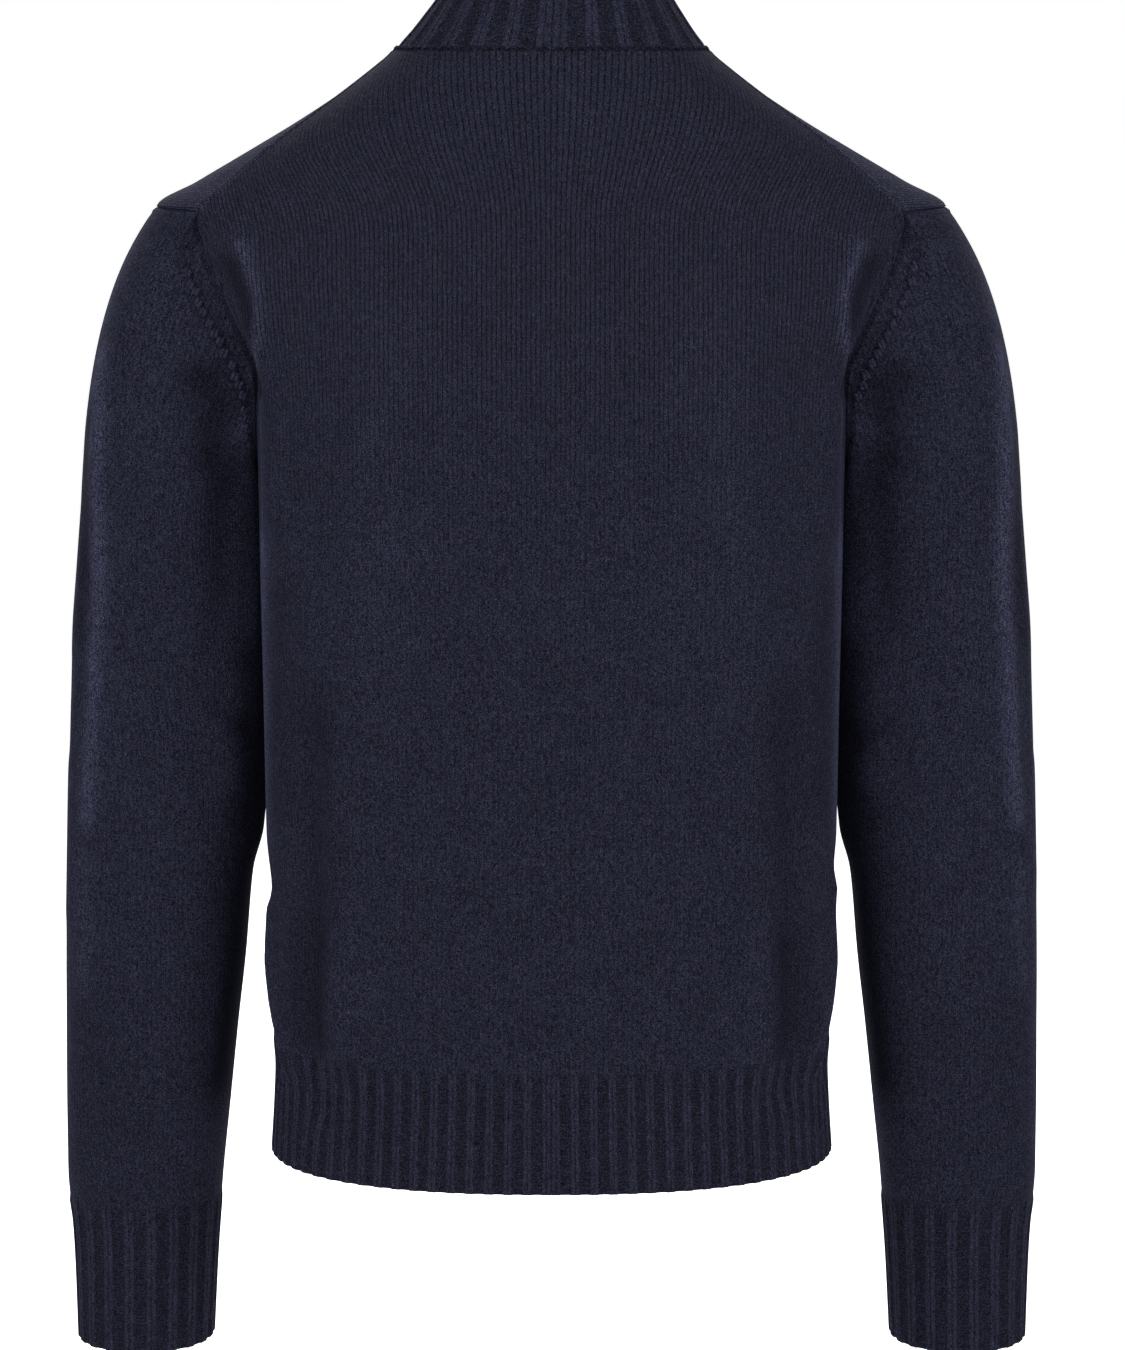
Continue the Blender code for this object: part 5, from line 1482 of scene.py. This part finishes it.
def makeTeeth():
    frame, top = makeZipLine(0.0)
    look = zipLook
    half, reach, width = look["toothLength"] / 2, look["toothReach"], look["chainHalfWidth"]
    outline = [  # a shank that widens to a rounded head past the middle
        (width, -half * 0.8), (0.0012, -half * 0.8), (0.0007, -half), (-reach * 0.6, -half),
        (-reach, -half * 0.45), (-reach, half * 0.45), (-reach * 0.6, half), (0.0007, half),
        (0.0012, half * 0.8), (width, half * 0.8),
    ]
    low, high = -look["chainTop"] - look["chainThick"], -look["chainTop"]
    parts = []
    for side in (1, -1):
        first = look["boxHeight"] + (0.0012 if side > 0 else 0.0012 + look["toothPitch"] / 2)
        places = np.arange(first, top, look["toothPitch"])
        origins, across, out, up = frame(places)
        shape, faces = prism([(side * x, z) for x, z in outline], low, high, 0.00022)
        parts.append(copiesOf(shape, faces, origins, across, out, up))
    origins, across, out, up = frame(np.array([0.0]))
    for outline, back, front in (
        (roundedOutline(0.0032, 0.0, look["boxHeight"] * 0.62, 0.0008), low - 0.0002, high + 0.0001),
        (roundedOutline(0.0011, 0.001, look["boxHeight"], 0.0005), low + 0.0004, high - 0.0003),
    ):
        shape, faces = prism(outline, back, front, 0.0003)
        parts.append(copiesOf(shape, faces, origins, across, out, up))
    mesh = joinedMesh("zipTeeth", parts)
    addPiece("zipTeeth", mesh, darkMetal, replaced=("zip_chain",))


def makeTape(name, node, side):
    xs = [side * x for x in (0.0004, 0.0010, 0.0026, 0.0060, 0.0100, 0.0140, zipLook["tapeWidth"])]
    cord = np.array([0.0006, 0.0007, 0.0, 0.0, 0.0, 0.0, -0.0001])
    levels = np.linspace(zipLook["foot"], -0.0740, 130)
    rises = np.linspace(0.03, zipLook["tapeTopRise"], 26)
    outer, inner = [], []
    for station in (*levels, *rises):
        found = [frontLine(x, station) for x in xs]
        point, normal = (np.array(v) for v in zip(*found))
        outer.append(point - normal * (zipLook["tapeDepth"] - cord)[:, None])
        inner.append(point - normal * (zipLook["tapeDepth"] + zipLook["tapeThick"]))
    outer, inner = np.array(outer), np.array(inner)
    flat = np.zeros(outer.shape[:2])
    makeWall(
        name, outer, inner, (flat, flat), False, (1, 1), tapeCloth, (node,)
    )


def sliderFrame():
    point = frontLine(0.0, zipLook["sliderRise"])[0]
    above = frontLine(0.0, zipLook["sliderRise"] + 0.02)[0]
    up = unit((above - point) * np.array((0.0, 1.0, 1.0)))
    out = np.array((0.0, -up[2], up[1]))
    return point, np.cross(out, up), out, up


def placed(part, origin, across, out, up):
    points, faces = part
    return copiesOf(points, faces, *(np.array([v]) for v in (origin, across, out, up)))


sliderLook = {
    "halfLength": 0.00575,
    "proud": 0.0006,
    "front": 0.0021,
    "bailLow": -0.00065,
    "bailHigh": 0.00495,
    "bailTop": 0.0044,
    "bailThick": 0.0010,
    "bailHalfWidth": 0.0009,
    "tabLength": 0.026,
    "tabHalfWidth": 0.0031,
    "tabThick": 0.0014,
    "armTop": 0.0007,
    "armBottom": -0.0058,
    "slotHalfWidth": 0.0014,
}


def bentBar(path, halfWidth, thick):  # a flat bar swept along a path of (outwards, along)
    path = np.array(path)
    way = unit(np.gradient(path, axis=0))
    side = np.stack([way[:, 1], -way[:, 0]], axis=-1)
    ring = [(-1, -0.7), (-0.75, -1), (0.75, -1), (1, -0.7), (1, 0.7), (0.75, 1), (-0.75, 1), (-1, 0.7)]
    points = [
        (a * halfWidth, *(place + s * b * thick / 2))
        for place, s in zip(path, side) for a, b in ring
    ]
    count, faces = len(ring), [tuple(range(8)), tuple(range(len(points) - 8, len(points)))[::-1]]
    for row in range(len(path) - 1):
        for i in range(count):
            j = (i + 1) % count
            a, b = row * count, (row + 1) * count
            faces.append((a + i, a + j, b + j, b + i))
    return points, faces


def makeSlider():
    look, half = sliderLook, sliderLook["halfLength"]
    shield = []
    for side in (1, -1):
        edge = [(0.0030, -half), (0.0034, -half + 0.0012), (0.0034, -0.0006), (0.0040, 0.0016),
                (0.0042, 0.0032), (0.0040, 0.0046), (0.0032, half - 0.0002), (0.0016, half)]
        shield += [(x * side, z) for x, z in (edge if side > 0 else edge[::-1])]
    low = -zipLook["chainTop"] - zipLook["chainThick"]
    parts = [
        prism(shield, look["proud"], look["front"], 0.0004),
        prism([(x * 0.69, z * 0.90) for x, z in shield], low, look["proud"] + 0.0004, 0.0003),
    ]
    for side in (1, -1):  # flanges turned in over the teeth
        flange = [(side * 0.0034, -half + 0.0012), (side * 0.0034, -0.0006), (side * 0.0041, 0.0026),
                  (side * 0.0035, 0.0026), (side * 0.0028, -0.0006), (side * 0.0028, -half + 0.0012)]
        parts.append(prism(flange, -0.0009, look["proud"] + 0.0004, 0.0002))
    top, low, high = look["bailTop"] + look["bailThick"] / 2, look["bailLow"], look["bailHigh"]
    arch = [(look["front"] - 0.0004, low + 0.0005)]
    for i in range(13):  # a squarish arch
        turn = math.pi * i / 12
        across = math.copysign(abs(math.cos(turn)) ** 0.6, math.cos(turn))
        along = (low + high) / 2 - across * (high - low - 0.001) / 2
        rise = math.sin(turn) ** 0.6 if 0 < i < 12 else 0.0
        arch.append((look["front"] + (top - look["front"]) * rise, along))
    arch.append((look["front"] - 0.0004, high - 0.0005))
    parts.append(bentBar(arch, look["bailHalfWidth"], look["bailThick"]))
    frame = sliderFrame()
    mesh = joinedMesh("zipSlider", [placed(part, *frame) for part in parts], 35.0)
    addPiece("zipSlider", mesh, darkMetal, replaced=("zip_slider",))


def makePullTab():
    look = sliderLook
    origin, across, out, up = sliderFrame()
    origin = origin + out * (look["front"] + 0.00115) + up * (look["bailLow"] + look["bailHigh"]) / 2
    half, thick = look["tabHalfWidth"], look["tabThick"] / 2
    low, high = -look["tabLength"], look["armBottom"] + 0.0006
    plate = roundedOutline(half - 0.0006, low + 0.0006, high - 0.0004, 0.0014)
    core = prism(plate, -thick * 0.62, thick * 0.62)
    rim, rings = bmesh.new(), []
    for inset, depth in (
        (0.0, -0.7), (0.0, 0.7), (0.0003, 1.0), (0.0007, 1.0),
        (0.0009, 0.6), (0.0009, -0.6), (0.0007, -1.0), (0.0003, -1.0),
    ):
        shape = roundedOutline(half - inset, low + inset, high - inset, 0.0020 - inset)
        rings.append([rim.verts.new((x, depth * thick, z)) for x, z in shape])
    for a, b in zip(rings, rings[1:] + rings[:1]):
        for i in range(len(a)):
            j = (i + 1) % len(a)
            rim.faces.new((a[i], a[j], b[j], b[i]))
    rim.verts.index_update()
    rimPart = [tuple(v.co) for v in rim.verts], [tuple(v.index for v in f.verts) for f in rim.faces]
    rim.free()
    parts = [core, rimPart]
    for side in (1, -1):
        middle = side * (look["slotHalfWidth"] + half) / 2
        wide = (half - look["slotHalfWidth"]) / 2
        outline = roundedOutline(wide, look["armBottom"], look["armTop"], 0.0006)
        outline = [(middle + x, z) for x, z in outline]
        parts.append(prism(outline, -look["armTop"], look["armTop"], 0.0002))
    reach, turns = look["slotHalfWidth"] + 0.0004, np.linspace(0, 2 * math.pi, 13)[:-1]
    radius = look["armTop"] * 0.8
    pin = [(x, radius * math.cos(t), radius * math.sin(t)) for x in (-reach, reach) for t in turns]
    pinFaces = [tuple(range(12)), tuple(range(12, 24))[::-1]]
    pinFaces += [(i, (i + 1) % 12, 12 + (i + 1) % 12, 12 + i) for i in range(12)]
    parts.append((pin, pinFaces))
    mesh = joinedMesh("pullTab", [placed(part, origin, across, out, up) for part in parts], 35.0)
    addPiece("pullTab", mesh, darkMetal, body="tab", replaced=("pull_tab",))


makeTeeth()
for label, node, side in bothSides:
    makeTape("zipTape" + label, "zip_tape" + node, side)
makeSlider()
makePullTab()
print("zip made")


# ---- sewing

def capsule(length, radius, sides=6, flat=1.0):  # along its first axis, round at both ends
    rows = [(-0.5, 0.25), (-0.42, 0.72), (-0.25, 1.0), (0.25, 1.0), (0.42, 0.72), (0.5, 0.25)]
    turns = [2 * math.pi * i / sides for i in range(sides)]
    points = [
        (x * length, radius * flat * r * math.sin(turn), radius * r * math.cos(turn))
        for x, r in rows for turn in turns
    ]
    faces = [tuple(range(sides)), tuple(range(len(points) - sides, len(points)))[::-1]]
    for row in range(len(rows) - 1):
        for i in range(sides):
            j, a, b = (i + 1) % sides, row * sides, (row + 1) * sides
            faces.append((a + i, a + j, b + j, b + i))
    return points, faces


def alongSurface(origins, ways, normals):  # frames whose first axis follows the given ways
    across = unit(ways - normals * dot(ways, normals))
    return origins, across, normals, np.cross(across, normals)


def makeFashioningMarks(side, luck):
    travels = np.linspace(0.0, 0.8, 161)
    ways = np.linspace(1.04, 2.92, 700)
    line = bodyPoint(*armholePlace(ways))
    run = np.concatenate([[0], np.cumsum(np.linalg.norm(np.diff(line, axis=0), axis=1))])
    places = np.arange(sewing["markEnds"], run[-1] - 0.02, sewing["markSpacing"])
    wander = sewing["markLuck"]
    chosen = np.interp(places + luck.uniform(-wander, wander, len(places)), run, ways)
    chosen = chosen[np.abs(chosen - sleeveLook["seamWay"]) > sewing["markBare"]]
    origins, downs, outs = [], [], []
    for way in chosen:
        points = sleevePoint(way, travels, side)
        far = np.concatenate([[0], np.cumsum(np.linalg.norm(np.diff(points, axis=0), axis=1))])
        inset = sewing["markInset"] + luck.uniform(-wander, wander)
        travel = np.interp(inset, far, travels)
        origins.append(sleevePoint(way, travel, side))
        downs.append(sleevePoint(way, travel + 0.01, side) - origins[-1])
        outs.append(sleeveNormal(way, np.array(travel), side))
    origins, downs, outs = np.array(origins), unit(np.array(downs)), np.array(outs)
    parts = []
    for shift, tilt in ((-0.0009, 0.28), (0.0011, 0.20)):
        beside = unit(np.cross(outs, downs))
        slanted = unit(downs + beside * (side * tilt + luck.uniform(-0.08, 0.08, (len(downs), 1))))
        base = origins + beside * shift + downs * luck.uniform(-0.0006, 0.0006, (len(downs), 1))
        frames = alongSurface(base + outs * sewing["markLift"], slanted, outs)
        parts.append(copiesOf(*capsule(sewing["markLength"], sewing["markRadius"], 8, 0.75), *frames))
    return parts


def makeSewing():
    luck = np.random.default_rng(5)
    parts = makeFashioningMarks(1, luck) + makeFashioningMarks(-1, luck)
    marks = joinedMesh("fashioningMarks", parts, 80.0)
    addPiece("fashioningMarks", marks, markWoolPaintedHighlight)
    parts = []
    angles = np.linspace(frontCentreAngle(cut["neckEdgeLevel"]) + 2.0, 90.0, 900)
    for side in (1, -1):  # the linked chain round the foot of the collar
        line = collarPoint(angles, sewing["chainRise"], side)
        run = np.concatenate([[0], np.cumsum(np.linalg.norm(np.diff(line, axis=0), axis=1))])
        places = np.arange(sewing["chainPitch"] / 2, run[-1], sewing["chainPitch"])
        at = np.interp(places, run, angles)
        origins, ahead = (collarPoint(a, sewing["chainRise"], side) for a in (at, at + 0.2))
        normal = unit(bodyNormal(at, neckline(at)[0] - 0.004, side) + collarNormal(at, 0.03, side))
        tilt = np.array((0.0, 0.0, sewing["chainTilt"])) * np.where(np.arange(len(at)) % 2, 1, -1)[:, None]
        frames = alongSurface(origins + normal * sewing["chainLift"], unit(ahead - origins) + tilt, normal)
        parts.append(copiesOf(*capsule(sewing["chainLength"], sewing["chainRadius"], 6, 0.9), *frames))
    for side in (1, -1):  # one row of stitches holds each tape
        stations = [*np.linspace(-0.636, -0.074, 170), *np.linspace(0.03, 0.97, 40)]
        found = [frontLine(side * sewing["stitchInset"], station) for station in stations]
        line, outs = (np.array(v) for v in zip(*found))
        run = np.concatenate([[0], np.cumsum(np.linalg.norm(np.diff(line, axis=0), axis=1))])
        places = np.arange(0.002, run[-1] - 0.002, sewing["stitchPitch"])
        at = lambda values, p: np.stack([np.interp(p, run, values[:, i]) for i in range(3)], axis=-1)
        ways, normal = at(line, places + 0.001) - at(line, places - 0.001), unit(at(outs, places))
        frames = alongSurface(at(line, places) - normal * 0.0001, ways, normal)
        parts.append(copiesOf(*capsule(sewing["stitchLength"], sewing["stitchRadius"]), *frames))
    mesh = joinedMesh("seamYarns", parts, 80.0)
    addPiece("seamYarns", mesh, chainWoolPaintedShade)


makeSewing()
print("sewing made")


# ---- floor, light and camera

studio = {
    "floorLevel": -1.10,
    "floorHalf": 60.0,
    "floorColour": (0.86, 0.86, 0.87),
    "floorGlow": 0.80,
    "roomLight": 0.23,
    "cameraPlace": (-0.0064, 2.5, 0.01),
    "cameraPitch": 8.4635,
    "lens": 116.208,
}
# place, aim, size, power
softLights = (
    ((1.45, 1.20, 0.42), (0.0, 0.0, -0.12), 1.1, 20.0),
    ((-1.45, 1.20, 0.38), (0.0, 0.0, -0.12), 1.1, 21.5),
    ((0.2, 2.3, 1.3), (0.0, 0.1, -0.15), 1.5, 24.0),
    ((0.9, -2.6, 0.9), (0.0, -0.1, -0.30), 2.0, 62.0),
    ((-1.3, -2.2, 0.5), (0.0, -0.1, -0.30), 1.4, 24.0),
)


def makeRoom():  # white to the camera, dimmer as a light
    room = bpy.data.worlds.new("paleRoom")
    room.use_nodes = True
    tree = room.node_tree
    background = tree.nodes["Background"]
    background.inputs["Color"].default_value = (1, 1, 1, 1)
    seen = tree.nodes.new("ShaderNodeLightPath").outputs["Is Camera Ray"]
    link(tree, fit(tree, seen, 0.0, 1.0, studio["roomLight"], 1.0, False), background.inputs["Strength"])
    scene.world = room


def makeStudio():
    mesh = bpy.data.meshes.new("floor")
    half, level = studio["floorHalf"], studio["floorLevel"]
    corners = [(x * half, y * half, level) for x, y in ((-1, -1), (1, -1), (1, 1), (-1, 1))]
    mesh.from_pydata(corners, [], [(0, 1, 2, 3)])
    material, tree, shader = startMaterial("paleFloor")
    shader.inputs["Base Color"].default_value = (*studio["floorColour"], 1)
    shader.inputs["Roughness"].default_value = 0.9
    shader.inputs["Specular IOR Level"].default_value = 0.1
    seen = tree.nodes.new("ShaderNodeLightPath").outputs["Is Camera Ray"]
    shader.inputs["Emission Color"].default_value = (1, 1, 1, 1)
    link(tree, calc(tree, "MULTIPLY", seen, studio["floorGlow"]), shader.inputs["Emission Strength"])
    mesh.materials.append(material)
    floor = bpy.data.objects.new("floor", mesh)
    scene.collection.objects.link(floor)
    makeRoom()
    for i, (place, aim, size, power) in enumerate(softLights):
        data = bpy.data.lights.new(f"softbox{i}", "AREA")
        data.shape, data.size, data.energy = "SQUARE", size, power
        lamp = bpy.data.objects.new(f"softbox{i}", data)
        lamp.location = place
        lamp.rotation_euler = (Vector(aim) - Vector(place)).to_track_quat("-Z", "Y").to_euler()
        lamp.visible_camera = False
        scene.collection.objects.link(lamp)
    data = bpy.data.cameras.new("camera")
    data.lens, data.sensor_width = studio["lens"], 36.0
    camera = bpy.data.objects.new("camera", data)
    camera.location = studio["cameraPlace"]
    camera.rotation_euler = (math.radians(90 - studio["cameraPitch"]), 0.0, math.pi)
    scene.collection.objects.link(camera)
    scene.camera = camera
    scene.view_settings.view_transform = "Standard"


makeStudio()
print("studio made")
